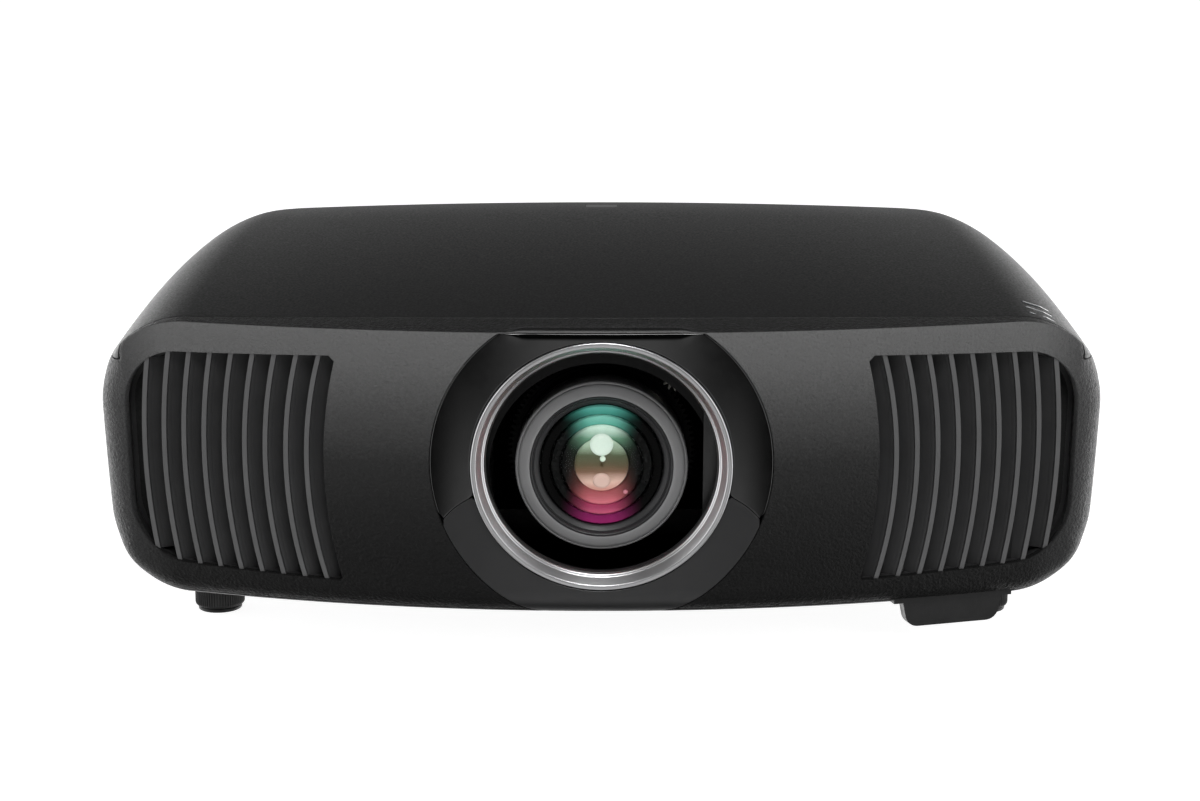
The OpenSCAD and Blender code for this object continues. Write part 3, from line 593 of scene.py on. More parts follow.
def leather_with_painted_shade():
    """Charcoal paint over a fine leather grain, with painted shade: the colour is lighter towards the top
    edge and darker lower down, standing in for the fall of the studio light, and painted black where the
    surface faces up, standing in for shade on top.
    """
    f = Finish("grained_charcoal_painted_shade")
    # painted shade: a height ramp makes the face lighter at the top and darker towards the bottom; real
    # mottling noise is added on top
    level = f.map(f.axis("Z"), 0.024, 0.174, 0.0, 1.0)
    painted_shade_and_mottling = f.math("ADD", level, f.map(f.noise(1.6, 4, (1.0, 1.0, 1.3), 1.0), 0.3, 0.7, -0.035, 0.035))
    face = ramp(f.nodes, [
        (0.0, 0.003), (0.2, 0.0045), (0.37, 0.008), (0.54, 0.0145),
        (0.72, 0.041), (0.88, 0.076), (1.0, 0.088),
    ])
    f.links.new(painted_shade_and_mottling, face.inputs[0])
    # the outer ends leave out the painted height shade and keep one even tone
    ends = f.map(f.math("ABSOLUTE", f.axis("X"), 0.0), 0.222, 0.256, 0.0, 1.0)
    outer = f.blend(ends, face.outputs[0], (0.026, 0.026, 0.0265, 1))
    # painted shade: surfaces that face up are painted near black
    up = f.map(f.facing("Z"), 0.55, 0.9, 0.0, 1.0)
    f.links.new(f.blend(up, outer, (0.006, 0.006, 0.006, 1)), f.bsdf.inputs["Base Color"])
    wrinkle = f.noise(2.0, 4, (1.0, 1.0, 1.3), 1.3, 0.55)
    pores = f.cells(1.5, "SMOOTH_F1")
    grain = f.math("ADD", f.math("MULTIPLY", wrinkle, 0.8), f.math("MULTIPLY", pores, 0.55))
    f.rough(f.noise(2.2, 3), 0.44, 0.58)
    f.bump(grain, 1.0, 1.0)
    return f.set(Specular_IOR_Level=0.14).m


def sparkle_black():
    """Matt black cover with a fine sparkling texture."""
    f = Finish("matt_black_cover")
    fleck = f.noise(0.55, 2)
    f.paint(fleck, [(0.35, 0.001), (0.62, 0.002), (0.74, 0.012)])
    f.rough(f.noise(1.2, 2), 0.42, 0.62)
    f.bump(f.noise(0.7, 3), 0.07, 0.8)
    f.bump(f.cells(1.3, "F1"), 0.03, 0.5)
    return f.set(Specular_IOR_Level=0.34).m


def gloss_black():
    """Piano-black plastic under a clear coat."""
    f = Finish("gloss_black")
    f.paint(f.noise(30, 2), [(0.3, 0.0003), (0.7, 0.0005)])
    f.rough(f.noise(6, 3), 0.10, 0.16)
    f.bump(f.noise(40, 1), 0.02, 0.3)
    return f.set(Specular_IOR_Level=0.5, Coat_Weight=0.8, Coat_Roughness=0.05).m


# Slot: name, colour, roughness, grain size and depth in mm, mottling, specular level if not 0.5
PLASTICS = {
    "chin": ("satin_charcoal", (0.013, 0.013, 0.0135), 0.34, 0.5, 0.006, 0.06),
    "base": ("moulded_black", (0.006, 0.006, 0.0062), 0.52, 0.8, 0.05, 0.2, 0.32),
    "louvre": ("louvre_black", (0.022, 0.022, 0.0225), 0.46, 0.6, 0.02, 0.08),
    # lighter copy of the louvre plastic for the blade fronts: painted light
    "strip": ("louvre_edge_painted_light", (0.062, 0.062, 0.063), 0.42, 0.6, 0.01, 0.06),
    "backing": ("filter_dark", (0.004, 0.004, 0.004), 0.8, 1.5, 0.2, 0.3),
    "lens_body": ("anodised_grey", (0.175, 0.175, 0.177), 0.42, 0.5, 0.008, 0.05, 0.35),
    "lens_cone": ("lens_cone_black", (0.02, 0.02, 0.021), 0.42, 0.4, 0.01, 0.1),
    # near black, darker than real black plastic: partly the parts' own colour, partly painted shade for the
    # recess behind the lens ring
    "inner_black": ("shutter_black", (0.0008, 0.0008, 0.0008), 0.5, 0.6, 0.02, 0.2, 0.25),
    "leaf": ("leaf_black", (0.010, 0.010, 0.010), 0.34, 0.5, 0.015, 0.2),
    "rubber": ("rubber_black", (0.007, 0.007, 0.007), 0.62, 0.7, 0.05, 0.2),
    "key": ("key_grey", (0.035, 0.035, 0.036), 0.4, 0.4, 0.012, 0.1),
    "plate": ("plate_black", (0.006, 0.006, 0.0062), 0.28, 0.5, 0.006, 0.1),
    "board": ("board_green", (0.012, 0.07, 0.03), 0.35, 0.9, 0.03, 0.25),
    "nylon": ("nylon_white", (0.62, 0.60, 0.54), 0.5, 0.6, 0.02, 0.06),
    "media": ("filter_media", (0.05, 0.05, 0.048), 0.95, 0.9, 0.3, 0.3),
    "guide": ("light_guide_smoke", (0.05, 0.055, 0.06), 0.2, 0.6, 0.01, 0.1),
}
# Slot: name, colour, roughness and, where not brushed, stretch, grain size and depth
METALS = {
    "steel": ("zinc_steel", (0.56, 0.57, 0.58), 0.32),
    "dark_steel": ("blackened_steel", (0.10, 0.10, 0.105), 0.38),
    "alloy": ("cast_alloy", (0.42, 0.43, 0.44), 0.46, (1, 1, 1), 0.8, 0.03),
    "brass": ("gilt_contacts", (0.75, 0.56, 0.25), 0.3),
    "nickel": ("nickel_shell", (0.66, 0.65, 0.62), 0.26),
    "label": ("satin_badge", (0.06, 0.06, 0.062), 0.4),
}
MAT = {}


def make_materials():
    MAT["face"] = leather_with_painted_shade()
    MAT["cover"] = sparkle_black()
    MAT["gloss"] = gloss_black()
    MAT["ring"] = satin_ring()
    for key, spec in PLASTICS.items():
        MAT[key] = plastic(*spec)
    for key, spec in METALS.items():
        MAT[key] = metal(*spec)


make_materials()

# ---------------------------------------------------------------- case skins
skin_verts, skin_polys = build_skin()
skin = Sheet(skin_verts, mesh_normals(skin_verts, skin_polys), skin_polys)


def seam_y(x):
    return FRONT + SEAM_V + SEAM_R - np.sqrt(SEAM_R**2 - x * x)


def round_corner(p0, p1, p2, r, n=14):
    p0, p1, p2 = (np.array(p, float) for p in (p0, p1, p2))
    a = (p0 - p1) / np.linalg.norm(p0 - p1)
    b = (p2 - p1) / np.linalg.norm(p2 - p1)
    half = math.acos(np.clip(a @ b, -1, 1)) / 2
    mid = (a + b) / np.linalg.norm(a + b)
    c = p1 + mid * r / math.sin(half)
    s, e = p1 + a * r / math.tan(half) - c, p1 + b * r / math.tan(half) - c
    a0 = math.atan2(s[1], s[0])
    d = math.atan2(e[1], e[0]) - a0
    d = (d + math.pi) % (2 * math.pi) - math.pi
    return [c + r * np.array([math.cos(a0 + d * k / n), math.sin(a0 + d * k / n)]) for k in range(n + 1)]


GRILLE = dict(x0=131.5, x1=243.7, z0=40.0, z1=159.0, bulge=8.0)


def grille_outline():
    g = GRILLE
    mid, reach = (g["z0"] + g["z1"]) / 2, (g["z1"] - g["z0"]) / 2
    pts = [np.array([g["x0"] + g["bulge"] * (1 - t * t), mid + t * reach]) for t in np.linspace(-1, 1, 17)]
    top_in, top_out = (g["x0"], g["z1"]), (g["x1"], g["z1"] - 3)
    low_out, low_in = (g["x1"], g["z0"] + 4.5), (g["x0"], g["z0"])
    pts += round_corner(top_in, top_out, low_out, 30)
    pts += round_corner(top_out, low_out, low_in, 32)
    return np.array(pts)


def outline_distance(points, outline):
    """Signed distance in the plane: positive outside the closed outline."""
    a, b = outline, np.roll(outline, -1, 0)
    best = np.full(len(points), 1e9)
    inside = np.zeros(len(points), bool)
    for p, q in zip(a, b):
        e = q - p
        w = points - p
        t = np.clip((w @ e) / (e @ e), 0, 1)
        best = np.minimum(best, np.hypot(*(w - t[:, None] * e).T))
        cond = (p[1] > points[:, 1]) != (q[1] > points[:, 1])
        with np.errstate(divide="ignore", invalid="ignore"):
            cross = (q[0] - p[0]) * (points[:, 1] - p[1]) / (q[1] - p[1]) + p[0]
        inside ^= cond & (points[:, 0] < cross)
    return np.where(inside, -best, best)


GRILLE_LINE = grille_outline()


def grille_gap(v):
    """Positive outside both air grilles."""
    p = np.stack([np.abs(v[:, 0]), v[:, 2]], 1)
    out = np.full(len(v), 99.0)
    near = (v[:, 1] < -100) & (p[:, 0] > 120) & (p[:, 0] < 255)
    out[near] = outline_distance(p[near], GRILLE_LINE)
    return out


def rounded_box(px, py, cx, cy, w, h, r):
    """Signed distance to a rounded rectangle, positive outside."""
    qx, qy = np.abs(px - cx) - (w / 2 - r), np.abs(py - cy) - (h / 2 - r)
    return np.hypot(np.maximum(qx, 0), np.maximum(qy, 0)) + np.minimum(np.maximum(qx, qy), 0) - r


def front_zone(v):
    x, y, z = v.T
    upper = np.maximum(seam_y(x) - y, np.minimum(PANEL_Z - z, PANEL_Y - y))
    face = (y - FRONT - face_v(x, z)) * math.cos(TILT)
    low = np.maximum(z - LIP_Z, 5 - face)
    r, depth = ring_frame(v)
    lens = np.maximum.reduce([r - SURROUND_OUT, depth - SURROUND_DEPTH, z - FACE_TOP])
    return np.minimum.reduce([upper, low, lens, grille_gap(v)])


def top_zone(v):
    x, y, z = v.T
    behind = np.maximum(np.minimum(z - PANEL_Z - GAP, y - seam_y(x) - GAP), y - PANEL_Y - GAP)
    rear = np.maximum(z - PANEL_Z - GAP, REAR_Y - GAP - y)
    guides = np.full(len(v), 99.0)
    for gy in (-170, -160, -150):
        guides = np.minimum(guides, rounded_box(x, y, 224, gy, 14.6, 2.4, 1.0))
    guides = np.where(z > 140, guides, 99.0)
    label = np.where(z > 180, rounded_box(x, y, 0, 120.5, 20.2, 17.2, 1.5), 99.0)
    plate = np.where(x < -200, rounded_box(y, z, 115, 119, 92.2, 32.2, 4.4), 99.0)
    return np.minimum.reduce([z - PART_Z - GAP, behind, rear, guides, label, plate])


# Round holes in the base, mirrored left to right: case screws, ceiling mount and foot (place, radius)
BASE_HOLES = [(224, -118, 4.3), (224, 120, 4.3), (90, -60, 2.05), (90, 60, 2.05), (*FOOT, 5.4)]


def bottom_zone(v):
    x, y, z = v.T
    face = (y - FRONT - face_v(x, z)) * math.cos(TILT)
    ahead = np.maximum(y - PANEL_Y - GAP, np.minimum(LIP_Z - GAP - z, face - 5 - GAP))
    rear = np.maximum(30 - z, REAR_Y - GAP - y)
    flat = z < 30
    holes = np.full(len(v), 99.0)
    for sx in (-1, 1):
        for px, py, r in BASE_HOLES:
            holes = np.minimum(holes, np.hypot(x - sx * px, y - py) - r)
    for k in range(8):
        holes = np.minimum(holes, rounded_box(x, y, -41 + k * 12, 5, 6, 70, 2.9))
    # opening for the filter cassette, turned with the corner
    turn = math.radians(15.9)
    cx, cy = x - 181.6, y + 172.6
    along, across = cx * math.cos(turn) + cy * math.sin(turn), -cx * math.sin(turn) + cy * math.cos(turn)
    holes = np.minimum(holes, rounded_box(along, across, 0, -2.2, 67.4, 12.6, 1.0))
    holes = np.where(flat, holes, 99.0)
    r, depth = ring_frame(v)
    lens = np.maximum(r - SURROUND_OUT, depth - SURROUND_DEPTH)
    return np.minimum.reduce([PART_Z - z, ahead, rear, holes, lens])


# Centres of the air slots in the rear panel
REAR_SLOTS = [(-100 + 22 * k, zc) for k in range(10) for zc in (113.5, 121.5, 129.5)]


def rear_zone(v):
    x, y, z = v.T
    holes = np.full(len(v), 99.0)
    for cx, cz in REAR_SLOTS:
        holes = np.minimum(holes, rounded_box(x, z, cx, cz, 18, 3.2, 1.5))
    # connector recess, mains inlet and screws
    holes = np.minimum(holes, rounded_box(x, z, -33, 73, 234.8, 46.8, 2.0))
    holes = np.minimum(holes, rounded_box(x, z, 128, 68, 30.8, 24.8, 2.0))
    for sx in (-160, -60, 60, 160):
        holes = np.minimum(holes, np.hypot(x - sx, z - 40) - 2.95)
    holes = np.where(y > 215, holes, 99.0)
    return np.minimum.reduce([y - REAR_Y, z - 30 - GAP, PANEL_Z - z, holes])


def chin_line(v):
    """Positive below the arched line between the glossy surround and the satin chin."""
    x, z = np.abs(v[:, 0]), v[:, 2]
    return np.where(x > 46.9, 40.6 - np.hypot(x - 46.9, z - 51.0), 91.6 - z)


def surround_zone(v):
    r, depth = ring_frame(v)
    edge = np.minimum(SURROUND_OUT - GAP - r, r - 65.5)
    return np.minimum.reduce([edge, SURROUND_DEPTH - 0.3 - depth, FACE_TOP - 0.3 - v[:, 2]])


def gloss_zone(v):
    return np.minimum(surround_zone(v), -chin_line(v) - 0.12)


def satin_zone(v):
    return np.minimum(surround_zone(v), chin_line(v) - 0.12)


def make_case():
    """The four shells, the glossy surround and the satin chin, all cut from one skin."""
    for name, node, zone, material, roll, wall in (
        ("front_shell", "front_panel", front_zone, "face", 0.55, WALL),
        ("top_shell", "top_cover", top_zone, "cover", 0.5, WALL),
        ("bottom_shell", "bottom_case", bottom_zone, "base", 0.5, WALL),
        ("rear_shell", "rear_panel", rear_zone, "base", 0.5, WALL),
        ("surround_gloss", "lens_surround", gloss_zone, "gloss", 0.45, TRIM_WALL),
        ("chin_satin", "chin_trim", satin_zone, "chin", 0.4, TRIM_WALL),
    ):
        verts, polys = thickened(trimmed(skin, zone, roll), wall)
        add_piece(name, verts, polys, "case", (node,), MAT[material])


make_case()


def make_ring():
    profile = [
        (RING_OUT, 9), (RING_OUT, 0.9), (65.0, 0.45), (64.8, 0.15), (64.5, 0.03), (62.9, 0.03),
        (62.6, 0.15), (62.4, 0.4), (60.0, 4.6), (59.8, 4.9), (59.4, 5.1), (59.0, 5.2),
        (58.6, 5.5), (58.4, 5.9), (58.4, 9),
    ]
    turned("lens_bezel", profile, on_ring, "case", ("lens_ring",), MAT["ring"], 60, steps=192)
    liner = [(59.1, 9.2), (58.4, 6.6), (58.1, 6.3), (57.8, 6.5), (57.6, 7.2), (57.6, 9.2)]
    turned("bezel_liner", liner, on_ring, "case", (), MAT["leaf"], 60, 160)


make_ring()


# ---------------------------------------------------------------- air grilles
BLADES = 9
BLADE_X = (148.3, 234.4)  # first and last blade
BLADE_R = (214, 330)
BLADE_Z = 99.5


def blade_x(k, z):
    """Middle line of a blade, arcs that bow outwards."""
    s = k / (BLADES - 1)
    x0 = BLADE_X[0] + s * (BLADE_X[1] - BLADE_X[0])
    r = BLADE_R[0] + s * (BLADE_R[1] - BLADE_R[0])
    dz = z - BLADE_Z
    return x0 - r + math.sqrt(r * r - dz * dz)


def inside_span(k):
    """Heights between which a blade's line lies inside the grille's outline."""
    zs = np.arange(38.0, 161.0, 0.5)
    pts = np.array([[blade_x(k, z), z] for z in zs])
    ok = outline_distance(pts, GRILLE_LINE) < -0.4
    return float(zs[ok].min()), float(zs[ok].max())


def make_grille(side):
    """Blades with a flat front strip and a sloping face, their sill, and a dark plate behind."""
    verts, polys = [], []
    steps, section = 44, 7
    edge, slope, back = 1.25, 10.2, 7.0
    for k in range(BLADES):
        z_lo, z_hi = inside_span(k)
        z_lo -= 1.5
        z_hi += 1.0
        start = len(verts)
        for i in range(steps + 1):
            z = z_lo + (z_hi - z_lo) * i / steps
            x = blade_x(k, z)
            f = FRONT + float(face_v(np.array(x), z)) + 1.3
            ring = [
                (x + edge, f + 0.15), (x + edge - 0.15, f), (x - edge + 0.15, f), (x - edge, f + 0.2),
                (x - edge - 0.25, f + 2.6), (x - slope, f + back), (x - slope + 0.5, f + back + 1.2),
            ]
            verts += [(side * a, b, z) for a, b in ring]
        for i in range(steps):
            for j in range(section):
                j2 = (j + 1) % section
                a, b = start + i * section, start + (i + 1) * section
                q = (a + j, a + j2, b + j2, b + j)
                polys.append(q if side < 0 else q[::-1])
        low = tuple(start + j for j in range(section))
        high = tuple(start + steps * section + j for j in range(section))
        polys.append(low[::-1] if side < 0 else low)
        polys.append(high if side < 0 else high[::-1])
    # sill that follows the outline inside the opening
    line = GRILLE_LINE
    mid = line.mean(0)
    n = len(line)
    rings = []
    for inset, depth in ((0.25, 3.1), (0.25, 13.0), (3.0, 13.4), (3.0, 14.6), (-0.1, 14.6), (-0.1, 3.1)):
        d = line - mid
        p = mid + d * (1 - inset / np.linalg.norm(d, axis=1))[:, None]
        y = FRONT + face_v(p[:, 0], p[:, 1]) + depth
        rings.append(np.stack([side * p[:, 0], y, p[:, 1]], 1))
    start = len(verts)
    verts += [tuple(v) for r in rings for v in r]
    for a in range(len(rings)):
        b = (a + 1) % len(rings)
        for i in range(n):
            i2 = (i + 1) % n
            q = (start + a * n + i, start + a * n + i2, start + b * n + i2, start + b * n + i)
            polys.append(q if side > 0 else q[::-1])
    name = "right" if side > 0 else "left"
    obj = add_piece(f"{name}_louvres", verts, polys, "case", (f"{name}_grille",), MAT["louvre"], 32)
    # painted light: faces that point forward get the lighter copy of the louvre plastic
    obj.data.materials.append(MAT["strip"])
    for poly in list(obj.data.polygons)[: BLADES * (steps * section + 2)]:
        if poly.normal.y < -0.9:
            poly.material_index = 1
    back_verts = []
    for depth in (13.5, 15.0):
        back_verts += [(side * x, FRONT + float(face_v(np.array(x), z)) + depth, z) for x, z in line]
    back_polys = [tuple(range(n)) if side < 0 else tuple(range(n))[::-1]]
    back_polys.append(tuple(range(n, 2 * n))[::-1] if side < 0 else tuple(range(n, 2 * n)))
    for i in range(n):
        i2 = (i + 1) % n
        back_polys.append((i, i2, n + i2, n + i) if side > 0 else (i, n + i, n + i2, i2))
    add_piece(f"{name}_grille_back", back_verts, back_polys, "case", (), MAT["backing"], 30)


make_grille(1)
make_grille(-1)

# ---------------------------------------------------------------- lens front
AXIS_Z = 97.6
LENS_Y = -188.5
CONE_R = 36.6
GLASS_R = 31.3


def on_axis(verts):
    """From lens coordinates to the model: the front of the lens at LENS_Y, its axis at AXIS_Z."""
    return np.asarray(verts, float) + [0, LENS_Y, AXIS_Z]


def make_lens_front():
    profile = [
        (44.0, 20.0), (44.0, 3.6), (43.85, 3.1), (43.5, 2.7), (43.0, 2.4), (42.85, 2.45), (42.7, 3.1),
        (42.45, 3.1), (42.3, 2.3), (42.1, 2.0), (41.0, 1.5), (38.5, 0.6), (37.0, 0.25),
        (36.6, 0.3), (36.45, 0.6), (36.4, 1.5),
        (36.15, 1.55), (36.0, 1.2), (35.7, 1.3), (34.9, 2.8), (34.8, 3.5), (34.5, 3.55), (34.3, 3.3),
        (32.6, 4.6), (31.9, 5.3), (31.65, 6.4), (31.6, 13.0), (29.0, 13.2),
        (29.0, 38.0), (41.6, 38.0), (41.6, 21.0),
    ]
    node = ("front_group",)
    obj = turned("lens_front_ring", profile, on_axis, "lens_front", node, MAT["lens_body"], 50, steps=192)
    obj.data.materials.append(MAT["lens_cone"])
    for poly in obj.data.polygons:
        r = math.hypot(poly.center.x, poly.center.z - AXIS_Z * MM)
        if r < CONE_R * MM:
            poly.material_index = 1


def cap_points(curvature, r_edge, y0, n=24):
    """Profile (radius, depth) of a spherical cap out to r_edge, with its tip at depth y0."""
    radii = [r_edge * k / n for k in range(n + 1)]
    return [(r, y0 + curvature - math.sqrt(curvature**2 - r * r)) for r in radii]


make_lens_front()


def painted_reflection_colours(f, stops_up, fade_mm):
    """Painted reflections: colours stacked up the height of the lens, standing in for the coatings'
    reflections of the studio lights, fading to black at its sides.
    """
    up = f.map(f.axis("Z"), (AXIS_Z - GLASS_R) * MM, (AXIS_Z + GLASS_R) * MM, 0.0, 1.0)
    wave = f.map(f.noise(7, 2), 0.3, 0.7, -0.008, 0.008)
    colours = ramp(f.nodes, stops_up)
    f.links.new(f.math("ADD", up, wave), colours.inputs[0])
    side = f.math("ABSOLUTE", f.axis("X"), 0.0)
    fade = soft_step(f.nodes, f.links, side, fade_mm[0] * MM, fade_mm[1] * MM)
    return f.blend(fade, colours.outputs[0], (0.0012, 0.0012, 0.0012, 1))


# Coated elements, outermost first: name, outer and inner radius, tip depth,
# painted reflection colours from bottom to top, and where they fade at the sides
ELEMENTS = [
    ("element_outer", 31.0, 26.2, 4.4, [
        (0.0, (0.20, 0.012, 0.085)), (0.10, (0.13, 0.010, 0.060)), (0.2, (0.05, 0.004, 0.022)),
        (0.34, (0.004, 0.002, 0.003)), (0.7, (0.0015, 0.003, 0.0025)), (0.86, (0.006, 0.035, 0.026)),
        (0.95, (0.05, 0.25, 0.20)), (1.0, (0.10, 0.33, 0.28))], (4, 22)),
    ("element_middle", 25.9, 21.0, 4.6, [
        (0.08, (0.55, 0.11, 0.19)), (0.15, (0.30, 0.035, 0.09)), (0.28, (0.09, 0.012, 0.025)),
        (0.5, (0.006, 0.006, 0.005)),
        (0.72, (0.01, 0.035, 0.024)), (0.84, (0.10, 0.36, 0.28)), (0.92, (0.22, 0.55, 0.46))], (4, 19)),
    ("element_inner", 20.7, 14.0, 4.8, [
        (0.16, (0.62, 0.17, 0.22)), (0.24, (0.38, 0.085, 0.10)), (0.36, (0.13, 0.035, 0.03)),
        (0.5, (0.03, 0.022, 0.014)),
        (0.62, (0.02, 0.035, 0.02)), (0.72, (0.12, 0.24, 0.16)), (0.82, (0.62, 0.78, 0.68))], (5, 19)),
    ("element_core", 13.7, 0.0, 5.0, [
        (0.28, (0.58, 0.26, 0.22)), (0.36, (0.60, 0.38, 0.32)), (0.44, (0.16, 0.085, 0.055)),
        (0.5, (0.085, 0.065, 0.035)),
        (0.58, (0.07, 0.08, 0.045)), (0.66, (0.30, 0.38, 0.28)), (0.72, (0.55, 0.66, 0.55))], (12, 22)),
]
# Painted reflections of the coated surfaces inside the lens, each on a faintly glowing button: name, place
# across and up, radii, depth, colour
GLINTS = [
    ("glint_lamp", 0.0, 10.6, 6.0, 6.0, 3.9, (0.62, 0.70, 0.62)),
    ("glint_small", 0.6, 3.2, 1.5, 1.5, 3.8, (0.62, 0.70, 0.60)),
    ("glint_low", 0.0, -8.2, 4.6, 4.0, 3.85, (0.55, 0.36, 0.31)),
    ("glint_dot", 12.2, -14.0, 1.2, 1.2, 3.8, (0.45, 0.16, 0.20)),
]


def make_element(name, r1, r0, tip, stops, fade):
    f = Finish(name)
    colour = painted_reflection_colours(f, stops, fade)
    f.links.new(colour, f.bsdf.inputs["Base Color"])
    f.links.new(colour, f.bsdf.inputs["Emission Color"])
    f.rough(f.noise(3, 2), 0.24, 0.3)
    # faint emission makes the coated elements glow though they are no lamps; together with the height colours
    # this is painted reflection
    f.set(Specular_IOR_Level=0.04, Emission_Strength=0.22, Coat_Weight=0.04, Coat_Roughness=0.1)
    lip = (r1 - r0) * 0.06
    top = [(r0 + lip, tip + 0.45)] + [
        (r, tip + 0.35 - 0.35 * math.sin(math.pi * (r - r0) / (2 * (r1 - r0)) + 0.4))
        for r in np.linspace(r0 + 2 * lip, r1 - 2 * lip, 12)] + [(r1 - lip, tip + 0.5)]
    profile = top + [(r1, tip + 0.9), (r1, tip + 2.4), (r0, tip + 2.4)]
    if r0:
        profile.append((r0, tip + 0.9))
    turned(name, profile, on_axis, "lens_front", (), f.m, 40)


def make_glint(name, x, z, rx, rz, depth, colour):
    """A shallow lens-shaped button painted with one soft reflection, glowing faintly by emission: a painted
    reflection.
    """
    f = Finish(name)
    f.paint(f.noise(4, 2), [(0.3, shade(colour, 0.94)), (0.7, colour)])
    f.rough(f.noise(3, 2), 0.4, 0.5)
    f.set(Emission_Strength=0.25, Emission_Color=(*colour, 1))
    profile = [(0.0, 0.0), (0.35, 0.02), (0.6, 0.08), (0.8, 0.2), (0.93, 0.42), (1.0, 0.9), (0.0, 1.2)]

    def place(verts):
        return on_axis(verts * [rx, 1.4, rz] + [x, depth, z])

    turned(name, profile, place, "lens_front", (), f.m, 60, 64)


def make_glass():
    curvature, tip = 90, 0.5
    profile = cap_points(curvature, GLASS_R, tip) + [(GLASS_R, 9.6), (30.2, 9.8), (30.0, 9.0)]
    profile += [(r, d + 2.4) for r, d in cap_points(curvature, 30.0, tip)[::-1]]
    f = Finish("front_element")
    f.paint(f.noise(20, 2), [(0.3, (0.94, 0.98, 0.97)), (0.7, (0.97, 1.0, 0.99))])
    f.rough(f.noise(5, 2), 0.0, 0.01)
    f.set(Transmission_Weight=1.0, IOR=1.12)
    turned("front_element", profile, on_axis, "lens_front", ("front_glass",), f.m, 40)
    well = [
        (31.4, 9.9), (30.4, 10.1), (30.2, 11.5), (29.4, 11.8),
        (29.2, 15.0), (0.0, 15.4), (0.0, 16.4), (31.4, 16.4),
    ]
    turned("element_seat", well, on_axis, "lens_front", (), MAT["inner_black"], 40)
    for spec in ELEMENTS:
        make_element(*spec)
    for spec in GLINTS:
        make_glint(*spec)


make_glass()


# ---------------------------------------------------------------- feet
def make_foot(side):
    """Fluted disc on a threaded stem, with a rubber pad under it."""
    name = "right" if side > 0 else "left"
    x0, y0 = side * FOOT[0], FOOT[1]
    verts, polys = [], []
    knurl = 60
    steps = knurl * 4
    rows = [
        (5.0, 2.6), (12.2, 2.65), (12.7, 2.85), (13.1, 3.3), (13.35, 3.9),
        (13.4, 4.4), (13.4, 11.2), (13.2, 11.8), (12.7, 12.3), (5.0, 12.4),
    ]
    flute = [0, 0, 0.1, 0.4, 0.9, 1, 1, 0.6, 0.1, 0]
    for k in range(steps):
        a = 2 * math.pi * k / steps
        wave = 0.45 * (1 - math.cos(a * knurl)) / 2
        for (r, z), w in zip(rows, flute):
            rr = r - wave * w
            verts.append((x0 + rr * math.cos(a), y0 + rr * math.sin(a), z))
    n = len(rows)
    for k in range(steps):
        k2 = (k + 1) % steps
        for i in range(n - 1):
            polys.append((k * n + i, k2 * n + i, k2 * n + i + 1, k * n + i + 1))
    # shank with a turned thread
    base = len(verts)
    seg, levels, pitch = 40, 240, 1.5
    z0, z1 = 12.4, 56.0
    crest, thread, stem = 4.98, 0.7, 4.2
    for i in range(levels + 1):
        z = z0 + (z1 - z0) * i / levels
        for k in range(seg):
            a = 2 * math.pi * k / seg
            phase = (z / pitch - k / seg) % 1
            r = crest - thread * (1 - abs(2 * phase - 1))
            if i in (0, levels):
                r = stem
            verts.append((x0 + r * math.cos(a), y0 + r * math.sin(a), z))
    for i in range(levels):
        for k in range(seg):
            k2 = (k + 1) % seg
            a, b = base + i * seg, base + (i + 1) * seg
            polys.append((a + k, a + k2, b + k2, b + k))
    polys.append(tuple(base + k for k in reversed(range(seg))))
    polys.append(tuple(base + levels * seg + k for k in range(seg)))
    add_piece(f"{name}_foot", verts, polys, f"{name}_screw", (f"{name}_foot_screw",), MAT["rubber"], 50)
    pad = [
        (0.0, 0.0), (10.8, 0.0), (11.5, 0.2), (11.8, 0.6),
        (11.8, 1.7), (11.6, 2.05), (11.2, 2.2), (0.0, 2.2),
    ]
    v, p = lathe(pad, 72)
    v = np.stack([v[:, 0] + x0, v[:, 2] + y0, v[:, 1]], 1)
    add_piece(f"{name}_foot_rubber", v, p, f"{name}_pad", (f"{name}_foot_pad",), MAT["rubber"], 40)


make_foot(1)
make_foot(-1)


def make_rear_feet():
    """Two tapered rubber feet, 380 mm apart."""
    verts, polys = [], []
    profile = [
        (0.0, 0.0), (8.9, 0.0), (9.7, 0.3), (10.1, 1.0),
        (12.6, 22.5), (12.9, 23.2), (12.9, 23.9), (0.0, 23.9),
    ]
    for side in (-1, 1):
        v, p = lathe(profile, 72)
        v = np.stack([v[:, 0] + side * 190, v[:, 2] + 150, v[:, 1]], 1)
        polys += [tuple(i + len(verts) for i in q) for q in p]
        verts += [tuple(q) for q in v]
    add_piece("rear_foot_pair", verts, polys, "case", ("rear_feet",), MAT["rubber"], 40)


make_rear_feet()

